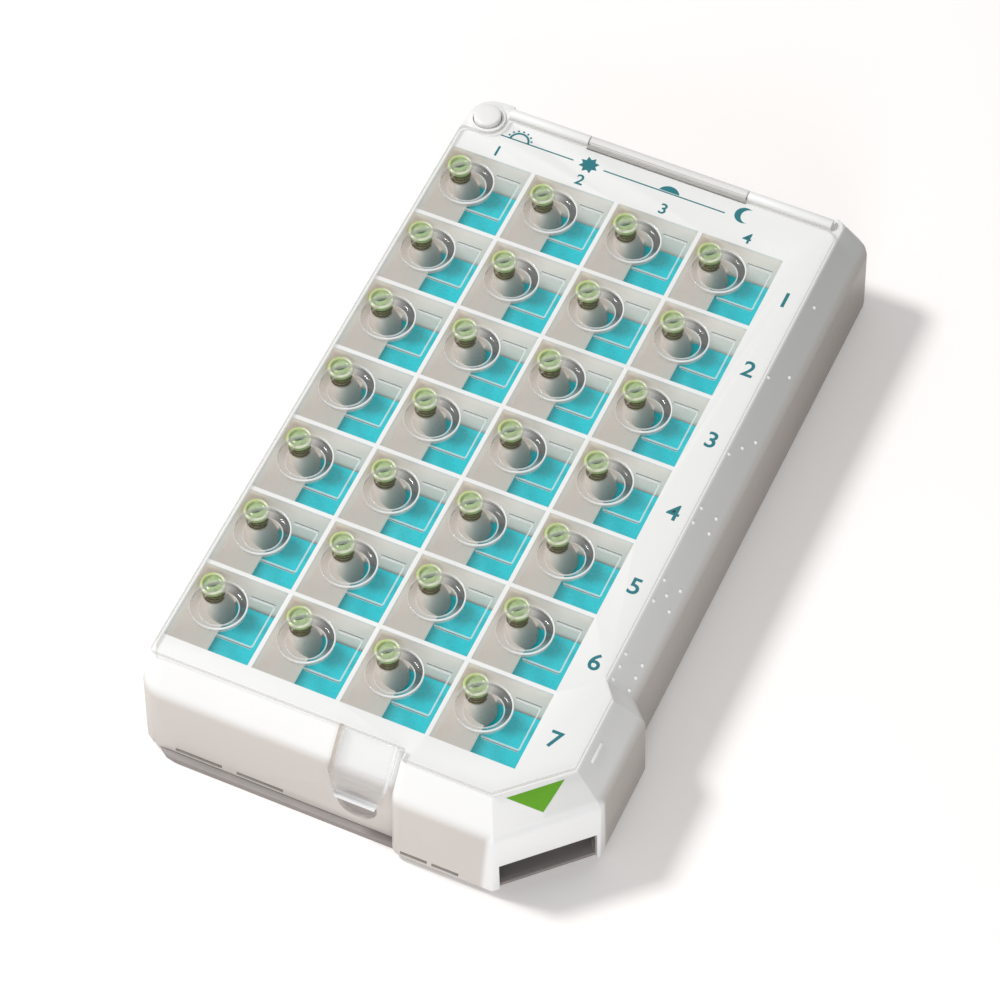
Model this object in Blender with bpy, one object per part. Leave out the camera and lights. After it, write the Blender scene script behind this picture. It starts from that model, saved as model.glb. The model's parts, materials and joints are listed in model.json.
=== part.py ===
# Weekly pill organizer: a white box of twenty-eight compartments under a clear hinged lid.
# Every compartment has a sprung push button that tips its floor flap down, so that what is
# in it drops to a collecting tray and leaves by the outlet in the front right corner.
# Lengths are metres, +Z is up, the front (latch side) faces -Y.

import bpy
import math

# Cutters run past the faces they open by this much
OVERCUT = 0.0010

# Overall foot of the casing, which is its largest outline
OVERALL_WIDTH = 0.1234
OVERALL_LENGTH = 0.2152
CASING_BOTTOM_Z = 0.0022
CASING_TOP_Z = 0.0330
BEVEL_DROP = 0.0082
CASING_WALL = 0.0015
HALF_SHARE = 0.5
CORNER_ARC_POINTS = 5
FOOT_HIP_X = OVERALL_WIDTH * HALF_SHARE
FOOT_LEFT_X = -FOOT_HIP_X
FOOT_BACK_Y = OVERALL_LENGTH * HALF_SHARE
FOOT_BLOCK_Y = -FOOT_BACK_Y

# Steps of the outline: the outlet corner stands out at the front and on the right
HIP_STEP = 0.0045
HIP_LENGTH = 0.0491
HIP_EASE = 0.0048
BLOCK_STEP = 0.0040
BLOCK_WIDTH = 0.0499
BLOCK_START_X = FOOT_HIP_X - BLOCK_WIDTH
FOOT_CHAMFER_RUN_X = 0.0208
FOOT_CHAMFER_RUN_Y = 0.0206
FOOT_HIP_FRONT_Y = FOOT_BLOCK_Y + HIP_LENGTH
FOOT_HIP_BACK_Y = FOOT_HIP_FRONT_Y + HIP_EASE
FOOT_RIGHT_X = FOOT_HIP_X - HIP_STEP
FOOT_FRONT_Y = FOOT_BLOCK_Y + BLOCK_STEP
FRONT_CORNER_RADIUS = 0.0068
BLOCK_CORNER_RADIUS = 0.0030
BACK_CORNER_RADIUS = 0.0045
BUTTON_CORNER_RADIUS = 0.0080

# Draft of the walls, from the foot up to the bevel
SIDE_DRAFT = 0.0004
BACK_DRAFT = 0.0004
FRONT_DRAFT = 0.0012
BLOCK_DRAFT = 0.0012
CASING_BEVEL_Z = CASING_TOP_Z - BEVEL_DROP
CASING_LEFT_X = FOOT_LEFT_X
CASING_RIGHT_X = FOOT_RIGHT_X - SIDE_DRAFT
CASING_HIP_X = FOOT_HIP_X - SIDE_DRAFT
CASING_FRONT_Y = FOOT_FRONT_Y + FRONT_DRAFT
CASING_BLOCK_Y = FOOT_BLOCK_Y + BLOCK_DRAFT
CASING_BACK_Y = FOOT_BACK_Y - BACK_DRAFT
CHAMFER_RUN_X = 0.0204
CHAMFER_RUN_Y = 0.0202
CHAMFER_START_X = CASING_HIP_X - CHAMFER_RUN_X
CHAMFER_END_Y = CASING_BLOCK_Y + CHAMFER_RUN_Y

# Rim of the casing, at the top of its bevel
LEFT_BEVEL = 0.0017
RIGHT_BEVEL = 0.0073
HIP_BEVEL = 0.0079
FRONT_BEVEL = 0.0067
BLOCK_BEVEL = 0.0072
BACK_BEVEL = 0.0018
RIM_LEFT_X = CASING_LEFT_X + LEFT_BEVEL
RIM_RIGHT_X = CASING_RIGHT_X - RIGHT_BEVEL
RIM_HIP_X = CASING_HIP_X - HIP_BEVEL
RIM_FRONT_Y = CASING_FRONT_Y + FRONT_BEVEL
RIM_BLOCK_Y = CASING_BLOCK_Y + BLOCK_BEVEL
RIM_BACK_Y = CASING_BACK_Y - BACK_BEVEL
RIM_CHAMFER_RUN_X = 0.0161
RIM_CHAMFER_RUN_Y = 0.0158
RIM_CHAMFER_START_X = RIM_HIP_X - RIM_CHAMFER_RUN_X
RIM_CHAMFER_END_Y = RIM_BLOCK_Y + RIM_CHAMFER_RUN_Y
RIM_HIP_SHIFT_Y = 0.0024
RIM_FRONT_RADIUS = 0.0050
RIM_BLOCK_RADIUS = 0.0020
RIM_BACK_RADIUS = 0.0032
RIM_BUTTON_RADIUS = 0.0070

# Compartment grid, between the back panel, the front strip and the day strip
COLUMNS = 4
ROWS = 7
GRID_FROM_LEFT = 0.0004
SIDE_DECK = 0.0099
BACK_DECK = 0.01885
FRONT_DECK = 0.00585
GRID_WALL = 0.0012
HALF_WALL = GRID_WALL * HALF_SHARE
GRID_LEFT_X = RIM_LEFT_X + GRID_FROM_LEFT
GRID_RIGHT_X = RIM_RIGHT_X - SIDE_DECK
GRID_BACK_Y = RIM_BACK_Y - BACK_DECK
GRID_FRONT_Y = RIM_FRONT_Y + FRONT_DECK
CELL_PITCH_X = (GRID_RIGHT_X - GRID_LEFT_X) / COLUMNS
CELL_PITCH_Y = (GRID_BACK_Y - GRID_FRONT_Y) / ROWS

# Floor flap of each compartment
FLAP_AXIS_Z = 0.0188
FLAP_THICKNESS = 0.0014
FLAP_AXIS_FROM_BACK = 0.0019
FLAP_HEEL = 0.0006
FLAP_SIDE_GAP = 0.00035
FLAP_PIN_WIDTH = 0.0009
FLAP_PIN_REACH = 0.0008
PIVOT_CLEARANCE = 0.0003
PIVOT_BORE_END = 0.0009
PIVOT_SEGMENTS = 10
FLAP_RECESS = 0.0001
HALF_FLAP = FLAP_THICKNESS * HALF_SHARE
FLAP_TOP_Z = FLAP_AXIS_Z + HALF_FLAP
CELL_FLOOR_Z = FLAP_AXIS_Z - HALF_FLAP - FLAP_RECESS
PIVOT_BORE_RADIUS = math.hypot(FLAP_PIN_WIDTH * HALF_SHARE, HALF_FLAP) + PIVOT_CLEARANCE

# Push button, and the cone that guides it
CONE_FROM_LEFT = 0.00485
CONE_FROM_BACK = 0.00545
CONE_OVER_FLAP = 0.0005
CONE_BELOW_RIM = 0.0062
CONE_SPREAD = 0.0024
CONE_PLATE = 0.0012
CONE_SEGMENTS = 12
STEM_CLEARANCE = 0.0003
STOP_STEP = 0.00075
STOP_THICKNESS = 0.0004
BUTTON_SEGMENTS = 10
BUTTON_OVER_FLAP = 0.0005
BUTTON_BELOW_RIM = 0.0005
BUTTON_CAP_THICKNESS = 0.0016
BUTTON_CAP_RADIUS = 0.0035
BUTTON_CAP_EDGE = 0.0005
BUTTON_STEM_RADIUS = 0.0013
BUTTON_TIP_RADIUS = 0.0006
BUTTON_TAPER = 0.0012
DIMPLE_EDGE = 0.0014
DIMPLE_DEPTH = 0.0006
BORE_RADIUS = BUTTON_STEM_RADIUS + STEM_CLEARANCE
STOP_RADIUS = BUTTON_STEM_RADIUS + STOP_STEP
BORE_WIDE_RADIUS = STOP_RADIUS + STEM_CLEARANCE
CONE_WALL = 0.0005
CONE_TOP_RADIUS = BORE_WIDE_RADIUS + CONE_WALL
CONE_BOTTOM_RADIUS = CONE_TOP_RADIUS + CONE_SPREAD
CONE_BOTTOM_Z = FLAP_TOP_Z + CONE_OVER_FLAP
CONE_TOP_Z = CASING_TOP_Z - CONE_BELOW_RIM
BORE_WIDE_TOP_Z = CONE_TOP_Z - CONE_PLATE
STOP_TOP_Z = BORE_WIDE_TOP_Z - STEM_CLEARANCE
STOP_BOTTOM_Z = STOP_TOP_Z - STOP_THICKNESS
BUTTON_TIP_Z = FLAP_TOP_Z + BUTTON_OVER_FLAP
BUTTON_TOP_Z = CASING_TOP_Z - BUTTON_BELOW_RIM
BUTTON_CAP_BOTTOM_Z = BUTTON_TOP_Z - BUTTON_CAP_THICKNESS

# Ramp: a slanted plate from each compartment's left wall down to its floor
RAMP_WIDTH = 0.0085
RAMP_DROP = 0.0050
RAMP_WALL = 0.0014
RAMP_RAISE = 0.0001
RAMP_EDGE = 0.0005
RAMP_SEAT = 0.0003
RAMP_TOP_Z = CASING_TOP_Z - RAMP_DROP
RAMP_LOW_Z = CONE_BOTTOM_Z + RAMP_RAISE

# Hollows under the decks beside, behind and before the compartments
POCKET_RIM_MARGIN = 0.0009
POCKET_BEND_DROP = 0.0008
POCKET_GAP = 0.0012
POCKET_HIP_GAP = 0.0007
POCKET_CHAMFER_GAP = 0.0034
POCKET_BOTTOM_Z = CELL_FLOOR_Z - OVERCUT
POCKET_TOP_Z = CASING_TOP_Z - CASING_WALL
POCKET_BEND_Z = CASING_BEVEL_Z - POCKET_BEND_DROP
SIDE_POCKET_LEFT_X = GRID_RIGHT_X + GRID_WALL
SIDE_POCKET_BACK_Y = GRID_BACK_Y - CASING_WALL
SIDE_POCKET_FRONT_Y = FOOT_HIP_BACK_Y + POCKET_HIP_GAP
HIP_POCKET_FRONT_Y = RIM_CHAMFER_END_Y + POCKET_CHAMFER_GAP
HIP_POCKET_BACK_Y = FOOT_HIP_FRONT_Y - RIM_HIP_SHIFT_Y - POCKET_GAP
HEADER_POCKET_FRONT_Y = GRID_BACK_Y + HALF_WALL
FRONT_POCKET_BACK_Y = GRID_FRONT_Y - HALF_WALL

# Outlet, snap slots and finger scoop in the casing wall
OUTLET_END_MARGIN = 0.0012
OUTLET_INWARD = 0.0060
OUTLET_OUTWARD = 0.0030
OUTLET_HEIGHT = 0.0106
OUTLET_TOP_Z = CASING_BOTTOM_Z + OUTLET_HEIGHT
SLOT_RAISE = 0.0006
SLOT_HEIGHT = 0.0014
SLOT_BOTTOM_Z = CASING_BOTTOM_Z + SLOT_RAISE
SLOT_TOP_Z = SLOT_BOTTOM_Z + SLOT_HEIGHT
SLOT_FROM_CORNER = 0.0110
SLOT_LENGTH = 0.0133
SLOT_SPACING = 0.0175
SLOTS = 2
BLOCK_SLOT_FROM_EDGE = 0.0033
BLOCK_SLOT_LENGTH = 0.0075
BLOCK_SLOT_SPACING = 0.0088
SLOT_REACH = 0.0035
SCOOP_FROM_BLOCK = 0.0106
SCOOP_RAISE = 0.0086
SCOOP_CENTRE_X = BLOCK_START_X - SCOOP_FROM_BLOCK
SCOOP_CENTRE_Z = CASING_BOTTOM_Z + SCOOP_RAISE
SCOOP_RADIUS = 0.0056
SCOOP_SEGMENTS = 20

# Lid hinge
HINGE_FROM_BACK = 0.0032
HINGE_RAISE = 0.0004
HINGE_RADIUS = 0.0017
HINGE_SEGMENTS = 16
HINGE_BUTTON_GAP = 0.0005
HINGE_FROM_RIGHT = 0.0029
LEFT_KNUCKLE_LENGTH = 0.0236
RIGHT_KNUCKLE_LENGTH = 0.0244
KNUCKLE_GAP = 0.0003
TROUGH_GAP = 0.0004
RECESS_BEHIND_AXIS = 0.0006
RECESS_END_GAP = 0.0003
PIN_RADIUS = 0.0008
PIN_REACH = 0.0020
PIN_CLEARANCE = 0.0003
PIN_SEGMENTS = 12
HINGE_Y = RIM_BACK_Y - HINGE_FROM_BACK
HINGE_Z = CASING_TOP_Z + HINGE_RAISE
TROUGH_FLOOR_Z = HINGE_Z - HINGE_RADIUS - TROUGH_GAP
HEADER_POCKET_BACK_Y = HINGE_Y - HINGE_RADIUS - CASING_WALL

# Clear lid with its finger openings and latch tongue
LID_GAP = 0.0003
LID_THICKNESS = 0.0016
LID_INSET = 0.0003
LID_HINGE_GAP = 0.0005
LID_BOTTOM_Z = CASING_TOP_Z + LID_GAP
LID_TOP_Z = LID_BOTTOM_Z + LID_THICKNESS
LID_LEFT_X = RIM_LEFT_X + LID_INSET
LID_RIGHT_X = RIM_RIGHT_X - LID_INSET
LID_HIP_X = RIM_HIP_X - LID_INSET
LID_FRONT_Y = RIM_FRONT_Y - LID_GAP
LID_BLOCK_Y = RIM_BLOCK_Y + LID_GAP
LID_BACK_Y = HINGE_Y - HINGE_RADIUS - LID_HINGE_GAP
LID_BLOCK_START_X = BLOCK_START_X + LID_GAP
LID_CHAMFER_START_X = RIM_CHAMFER_START_X - LID_GAP
LID_CHAMFER_END_Y = RIM_CHAMFER_END_Y - LID_GAP
LID_FRONT_RADIUS = 0.0012
LID_BACK_RADIUS = 0.0035
LID_NOTCH_RADIUS = 0.0015
TROUGH_FRONT_Y = LID_BACK_Y - LID_GAP
FINGER_FROM_LEFT = 0.0100
FINGER_FROM_BACK = 0.0122
FINGER_RADIUS = 0.0069
FINGER_RIM_WIDTH = 0.0008
FINGER_RIM_HEIGHT = 0.0005
FINGER_SEGMENTS = 16
FINGER_RIM_RADIUS = FINGER_RADIUS + FINGER_RIM_WIDTH
FINGER_RIM_Z = LID_TOP_Z + FINGER_RIM_HEIGHT
TONGUE_FROM_BLOCK = 0.0014
TONGUE_WIDTH = 0.0163
TONGUE_TIP_LEFT_STEP = 0.0016
TONGUE_TIP_RIGHT_STEP = 0.0035
TONGUE_GAP = 0.0006
TONGUE_THICKNESS = 0.0014
TONGUE_DROP = 0.0113
TONGUE_RIGHT_X = BLOCK_START_X - TONGUE_FROM_BLOCK
TONGUE_LEFT_X = TONGUE_RIGHT_X - TONGUE_WIDTH
TONGUE_TIP_LEFT_X = TONGUE_LEFT_X + TONGUE_TIP_LEFT_STEP
TONGUE_TIP_RIGHT_X = TONGUE_RIGHT_X - TONGUE_TIP_RIGHT_STEP
TONGUE_TIP_Z = CASING_BEVEL_Z - TONGUE_DROP
TONGUE_ROOT = 0.0017
TONGUE_ROOT_Y = RIM_FRONT_Y + TONGUE_ROOT
TONGUE_INNER_SHOULDER_Y = LID_FRONT_Y - LID_GAP
TONGUE_SHOULDER_Y = TONGUE_INNER_SHOULDER_Y - TONGUE_GAP
TONGUE_INNER_Y = CASING_FRONT_Y - TONGUE_GAP
TONGUE_FACE_Y = TONGUE_INNER_Y - TONGUE_THICKNESS
TONGUE_INNER_Z = CASING_BEVEL_Z
TONGUE_FACE_Z = CASING_BEVEL_Z + TONGUE_GAP
TONGUE_TIP_INNER_Y = TONGUE_INNER_Y - FRONT_DRAFT * HALF_SHARE
TONGUE_TIP_FACE_Y = TONGUE_FACE_Y - FRONT_DRAFT * HALF_SHARE

# Corner push button in its collar, which the lid's corner leaves free
CORNER_FROM_LEFT = 0.0056
CORNER_FROM_BACK = 0.0070
CORNER_BUTTON_RADIUS = 0.00385
CORNER_CLEARANCE = 0.00025
CORNER_COLLAR_WALL = 0.0010
CORNER_COLLAR_HEIGHT = 0.0006
CORNER_BUTTON_HEIGHT = 0.0023
CORNER_BUTTON_EDGE = 0.0006
CORNER_BUTTON_DEPTH = 0.0050
CORNER_TRAVEL = 0.0020
CORNER_STEM_RADIUS = 0.0016
CORNER_STOP_STEP = 0.0010
CORNER_STOP_THICKNESS = 0.0011
CORNER_FLOOR = 0.0015
CORNER_LID_GAP = 0.0007
CORNER_SEGMENTS = 20
CORNER_X = RIM_LEFT_X + CORNER_FROM_LEFT
CORNER_Y = RIM_BACK_Y - CORNER_FROM_BACK
CORNER_BORE_RADIUS = CORNER_BUTTON_RADIUS + CORNER_CLEARANCE
CORNER_COLLAR_RADIUS = CORNER_BORE_RADIUS + CORNER_COLLAR_WALL
CORNER_COLLAR_TOP_Z = CASING_TOP_Z + CORNER_COLLAR_HEIGHT
CORNER_BUTTON_TOP_Z = CASING_TOP_Z + CORNER_BUTTON_HEIGHT
CORNER_BUTTON_BOTTOM_Z = CORNER_BUTTON_TOP_Z - CORNER_BUTTON_DEPTH
CORNER_BORE_FLOOR_Z = CORNER_BUTTON_BOTTOM_Z - CORNER_TRAVEL
CORNER_POCKET_TOP_Z = CORNER_BORE_FLOOR_Z - CORNER_FLOOR
CORNER_STEM_BORE_RADIUS = CORNER_STEM_RADIUS + CORNER_CLEARANCE
CORNER_STOP_RADIUS = CORNER_STEM_RADIUS + CORNER_STOP_STEP
CORNER_STOP_TOP_Z = CORNER_POCKET_TOP_Z - CORNER_CLEARANCE
CORNER_STOP_BOTTOM_Z = CORNER_STOP_TOP_Z - CORNER_STOP_THICKNESS
LID_NOTCH_X = CORNER_X + CORNER_COLLAR_RADIUS + CORNER_LID_GAP
LID_NOTCH_Y = CORNER_Y - CORNER_COLLAR_RADIUS - CORNER_LID_GAP
CORNER_POCKET_RIGHT_X = LID_NOTCH_X + CORNER_LID_GAP
HINGE_LEFT_X = CORNER_X + CORNER_COLLAR_RADIUS + HINGE_BUTTON_GAP
HINGE_RIGHT_X = RIM_RIGHT_X - HINGE_FROM_RIGHT
KNUCKLE_LEFT_X = HINGE_LEFT_X + LEFT_KNUCKLE_LENGTH
KNUCKLE_RIGHT_X = HINGE_RIGHT_X - RIGHT_KNUCKLE_LENGTH

# Collecting tray: its foot plate stands out under the front wall, left of the outlet corner
TRAY_FOOT_INSET = 0.0021
TRAY_FOOT_LEFT_INSET = 0.0045
TRAY_FOOT_RADIUS = 0.0070
TRAY_GAP = 0.0003
TRAY_UNDERCUT = 0.0006
TRAY_LIP_STEP = 0.0006
TRAY_LIP_HEIGHT = 0.0034
TRAY_LIP_WALL = 0.0012
TRAY_FLOOR = 0.0010
CLIP_END_GAP = 0.0005
CLIP_GAP = 0.0004
CLIP_REACH = 0.0010
CLIP_ROOT = 0.0008
TRAY_FLOOR_Z = TRAY_UNDERCUT + TRAY_FLOOR
TRAY_FOOT_TOP_Z = CASING_BOTTOM_Z - TRAY_GAP
TRAY_LIP_TOP_Z = TRAY_FOOT_TOP_Z + TRAY_LIP_HEIGHT
TRAY_LIP_INSET = CASING_WALL + TRAY_GAP
TRAY_LIP_TOP_INSET = TRAY_LIP_INSET + TRAY_LIP_STEP
TRAY_INNER_INSET = TRAY_LIP_TOP_INSET + TRAY_LIP_WALL
CLIP_BOTTOM_Z = SLOT_BOTTOM_Z + CLIP_GAP
CLIP_TOP_Z = SLOT_TOP_Z - CLIP_GAP

# Material colours and finishes
WHITE_COLOR = (0.86, 0.86, 0.85, 1.0)
CLEAR_COLOR = (0.88, 0.92, 0.93, 1.0)
GREEN_COLOR = (0.50, 0.68, 0.28, 1.0)
TEAL_COLOR = (0.03, 0.42, 0.46, 1.0)
GREY_COLOR = (0.31, 0.29, 0.28, 1.0)
GLOSS_ROUGHNESS_SHARE = 0.30
MATTE_ROUGHNESS_SHARE = 0.48
CLEAR_ALPHA_SHARE = 0.35
GREEN_ALPHA_SHARE = 0.85
PLASTIC_IOR = 1.49

# Outlines as corners with a radius each, counter-clockwise from the front left
FOOT_OUTLINE = (
    (FOOT_LEFT_X, FOOT_FRONT_Y, FRONT_CORNER_RADIUS),
    (BLOCK_START_X, FOOT_FRONT_Y, 0),
    (BLOCK_START_X, FOOT_BLOCK_Y, BLOCK_CORNER_RADIUS),
    (FOOT_HIP_X - FOOT_CHAMFER_RUN_X, FOOT_BLOCK_Y, 0),
    (FOOT_HIP_X, FOOT_BLOCK_Y + FOOT_CHAMFER_RUN_Y, 0),
    (FOOT_HIP_X, FOOT_HIP_FRONT_Y, 0),
    (FOOT_RIGHT_X, FOOT_HIP_BACK_Y, 0),
    (FOOT_RIGHT_X, FOOT_BACK_Y, BACK_CORNER_RADIUS),
    (FOOT_LEFT_X, FOOT_BACK_Y, BUTTON_CORNER_RADIUS),
)
CASING_OUTLINE = (
    (CASING_LEFT_X, CASING_FRONT_Y, FRONT_CORNER_RADIUS),
    (BLOCK_START_X, CASING_FRONT_Y, 0),
    (BLOCK_START_X, CASING_BLOCK_Y, BLOCK_CORNER_RADIUS),
    (CHAMFER_START_X, CASING_BLOCK_Y, 0),
    (CASING_HIP_X, CHAMFER_END_Y, 0),
    (CASING_HIP_X, FOOT_HIP_FRONT_Y, 0),
    (CASING_RIGHT_X, FOOT_HIP_BACK_Y, 0),
    (CASING_RIGHT_X, CASING_BACK_Y, BACK_CORNER_RADIUS),
    (CASING_LEFT_X, CASING_BACK_Y, BUTTON_CORNER_RADIUS),
)
RIM_OUTLINE = (
    (RIM_LEFT_X, RIM_FRONT_Y, RIM_FRONT_RADIUS),
    (BLOCK_START_X, RIM_FRONT_Y, 0),
    (BLOCK_START_X, RIM_BLOCK_Y, RIM_BLOCK_RADIUS),
    (RIM_CHAMFER_START_X, RIM_BLOCK_Y, 0),
    (RIM_HIP_X, RIM_CHAMFER_END_Y, 0),
    (RIM_HIP_X, FOOT_HIP_FRONT_Y - RIM_HIP_SHIFT_Y, 0),
    (RIM_RIGHT_X, FOOT_HIP_BACK_Y - RIM_HIP_SHIFT_Y, 0),
    (RIM_RIGHT_X, RIM_BACK_Y, RIM_BACK_RADIUS),
    (RIM_LEFT_X, RIM_BACK_Y, RIM_BUTTON_RADIUS),
)
LID_OUTLINE = (
    (LID_LEFT_X, LID_FRONT_Y, LID_FRONT_RADIUS),
    (LID_BLOCK_START_X, LID_FRONT_Y, 0),
    (LID_BLOCK_START_X, LID_BLOCK_Y, 0),
    (LID_CHAMFER_START_X, LID_BLOCK_Y, 0),
    (LID_HIP_X, LID_CHAMFER_END_Y, 0),
    (LID_HIP_X, FOOT_HIP_FRONT_Y - RIM_HIP_SHIFT_Y, 0),
    (LID_RIGHT_X, FOOT_HIP_BACK_Y - RIM_HIP_SHIFT_Y, 0),
    (LID_RIGHT_X, LID_BACK_Y, LID_BACK_RADIUS),
    (LID_NOTCH_X, LID_BACK_Y, 0),
    (LID_NOTCH_X, LID_NOTCH_Y, 0),
    (LID_LEFT_X, LID_NOTCH_Y, LID_NOTCH_RADIUS),
)


def rounded(corners, arc_points=CORNER_ARC_POINTS):
    """Points of a convex-cornered outline, with an arc at each corner that has a radius."""
    points = []
    count = len(corners)
    for index, (x, y, radius) in enumerate(corners):
        if not radius:
            points.append((x, y))
            continue
        before = corners[index - 1]
        after = corners[(index + 1) % count]
        angle_in = math.atan2(before[1] - y, before[0] - x)
        angle_out = math.atan2(after[1] - y, after[0] - x)
        spread = (angle_in - angle_out) % math.tau
        half = spread * HALF_SHARE
        reach = radius / math.tan(half)
        middle = angle_out + half
        to_centre = radius / math.sin(half)
        centre_x = x + math.cos(middle) * to_centre
        centre_y = y + math.sin(middle) * to_centre
        first_x = x + math.cos(angle_in) * reach
        first_y = y + math.sin(angle_in) * reach
        start = math.atan2(first_y - centre_y, first_x - centre_x)
        sweep = math.pi - spread
        for step in range(arc_points):
            turn = start + sweep * step / (arc_points - 1)
            points.append((centre_x + math.cos(turn) * radius, centre_y + math.sin(turn) * radius))
    return points


def inset(corners, distance):
    """The same corners with every side moved inward by a distance."""
    moved = []
    count = len(corners)
    for index, (x, y, radius) in enumerate(corners):
        before = corners[index - 1]
        after = corners[(index + 1) % count]
        in_length = math.hypot(x - before[0], y - before[1])
        out_length = math.hypot(after[0] - x, after[1] - y)
        in_dir = ((x - before[0]) / in_length, (y - before[1]) / in_length)
        out_dir = ((after[0] - x) / out_length, (after[1] - y) / out_length)
        cross = in_dir[0] * out_dir[1] - in_dir[1] * out_dir[0]
        dot = in_dir[0] * out_dir[0] + in_dir[1] * out_dir[1]
        along = distance * (1 - dot) / cross
        new_x = x - in_dir[1] * distance - in_dir[0] * along
        new_y = y + in_dir[0] * distance - in_dir[1] * along
        moved.append((new_x, new_y, max(radius - distance, 0)))
    return tuple(moved)


def loft(rings):
    """A closed solid through rings of points that all have the same count."""
    count = len(rings[0])
    verts = [point for ring in rings for point in ring]
    faces = [tuple(reversed(range(count)))]
    for level in range(len(rings) - 1):
        low = level * count
        high = low + count
        for index in range(count):
            nxt = (index + 1) % count
            faces.append((low + index, low + nxt, high + nxt, high + index))
    top = (len(rings) - 1) * count
    faces.append(tuple(range(top, top + count)))
    return verts, faces


def prism(points, low_z, high_z):
    """An upright prism over an outline."""
    return loft([[(x, y, low_z) for x, y in points], [(x, y, high_z) for x, y in points]])


def box(low, high):
    """A box between two opposite corners."""
    points = ((low[0], low[1]), (high[0], low[1]), (high[0], high[1]), (low[0], high[1]))
    return prism(points, low[2], high[2])


def beam_x(section, low_x, high_x):
    """A prism along X over a section of (y, z) points, counter-clockwise seen from +X."""
    return loft([[(low_x, y, z) for y, z in section], [(high_x, y, z) for y, z in section]])


def beam_y(section, low_y, high_y):
    """A prism along Y over a section of (x, z) points, clockwise seen from +Y."""
    return loft([[(x, low_y, z) for x, z in section], [(x, high_y, z) for x, z in section]])


def circle(radius, segments):
    """Points of a circle, counter-clockwise."""
    turns = [math.tau * (step + HALF_SHARE) / segments for step in range(segments)]
    return [(math.cos(turn) * radius, math.sin(turn) * radius) for turn in turns]


def rod_x(centre_y, centre_z, radius, low_x, high_x, segments):
    """A round rod along X."""
    section = [(centre_y + y, centre_z + z) for y, z in circle(radius, segments)]
    return beam_x(section, low_x, high_x)


def turned(profile, segments, centre_x=0, centre_y=0):
    """A turned solid: profile is (radius, z) from the bottom face up to the top face."""
    unit = circle(1, segments)
    rings = [[(centre_x + x * radius, centre_y + y * radius, z) for x, y in unit] for radius, z in profile]
    return loft(rings)


def joined(shapes):
    """Several closed shapes in one list of vertices and faces."""
    verts = []
    faces = []
    for shape_verts, shape_faces in shapes:
        start = len(verts)
        verts.extend(shape_verts)
        faces.extend(tuple(start + index for index in face) for face in shape_faces)
    return verts, faces


def material(name, color, roughness, alpha=1):
    """A Principled material of its own for one sub-part."""
    mat = bpy.data.materials.new(name)
    mat.use_nodes = True
    shader = mat.node_tree.nodes["Principled BSDF"]
    shader.inputs["Base Color"].default_value = color
    shader.inputs["Roughness"].default_value = roughness
    shader.inputs["Alpha"].default_value = alpha
    shader.inputs["IOR"].default_value = PLASTIC_IOR
    mat.diffuse_color = color
    return mat


def collection(name):
    """A collection linked to the scene."""
    made = bpy.data.collections.new(name)
    bpy.context.scene.collection.children.link(made)
    return made


def solid(name, shape, group, origin=(0, 0, 0)):
    """An object whose mesh is a closed shape, placed with its origin at a given point."""
    verts, faces = shape
    shifted = [tuple(value - start for value, start in zip(vert, origin)) for vert in verts]
    mesh = bpy.data.meshes.new(name)
    mesh.from_pydata(shifted, [], faces)
    mesh.validate()
    mesh.update()
    obj = bpy.data.objects.new(name, mesh)
    obj.location = origin
    group.objects.link(obj)
    return obj


def cut_by(target, name, shape, operation="DIFFERENCE"):
    """Adds a Boolean to a piece, with its tool in the cutter collection."""
    tool = solid(name, shape, CUTTERS)
    tool.hide_render = True
    tool.display_type = "WIRE"
    modifier = target.modifiers.new(name, "BOOLEAN")
    modifier.operation = operation
    modifier.solver = "EXACT"
    modifier.object = tool


def finish(obj, mat):
    """Gives a piece its material."""
    obj.data.materials.append(mat)
    return obj


def cell_corner(row, column):
    """Back left corner of a compartment, on the middle lines of its walls."""
    return GRID_LEFT_X + column * CELL_PITCH_X, GRID_BACK_Y - row * CELL_PITCH_Y


def each_cell():
    """Rows from the back, columns from the left."""
    return [(row, column) for row in range(ROWS) for column in range(COLUMNS)]


for old in list(bpy.data.objects):
    bpy.data.objects.remove(old)

PARTS = collection("weekly_pill_organizer")
CUTTERS = collection("cutters")
OUTLET_CORNER_INDEX = 3
CHAMFER_LENGTH = math.hypot(CASING_HIP_X - CHAMFER_START_X, CHAMFER_END_Y - CASING_BLOCK_Y)
CHAMFER_ALONG = (
    (CASING_HIP_X - CHAMFER_START_X) / CHAMFER_LENGTH,
    (CHAMFER_END_Y - CASING_BLOCK_Y) / CHAMFER_LENGTH,
)


def chamfer_point(along, outward):
    """A point measured along the outlet's wall from its left end, and out of it."""
    x = CHAMFER_START_X + CHAMFER_ALONG[0] * along + CHAMFER_ALONG[1] * outward
    y = CASING_BLOCK_Y + CHAMFER_ALONG[1] * along - CHAMFER_ALONG[0] * outward
    return x, y


def outlet_shape(low_z, high_z):
    """The block of space that the outlet takes out of a wall."""
    first = OUTLET_END_MARGIN
    last = CHAMFER_LENGTH - OUTLET_END_MARGIN
    points = (
        chamfer_point(first, -OUTLET_INWARD),
        chamfer_point(first, OUTLET_OUTWARD),
        chamfer_point(last, OUTLET_OUTWARD),
        chamfer_point(last, -OUTLET_INWARD),
    )
    return prism(points, low_z, high_z)


def at_height(corners, z):
    """A rounded outline as a ring of points at one height."""
    return [(x, y, z) for x, y in rounded(corners)]


# Casing: outer shell with the compartment grid, its ramps and the guide cones, one moulding

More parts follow.
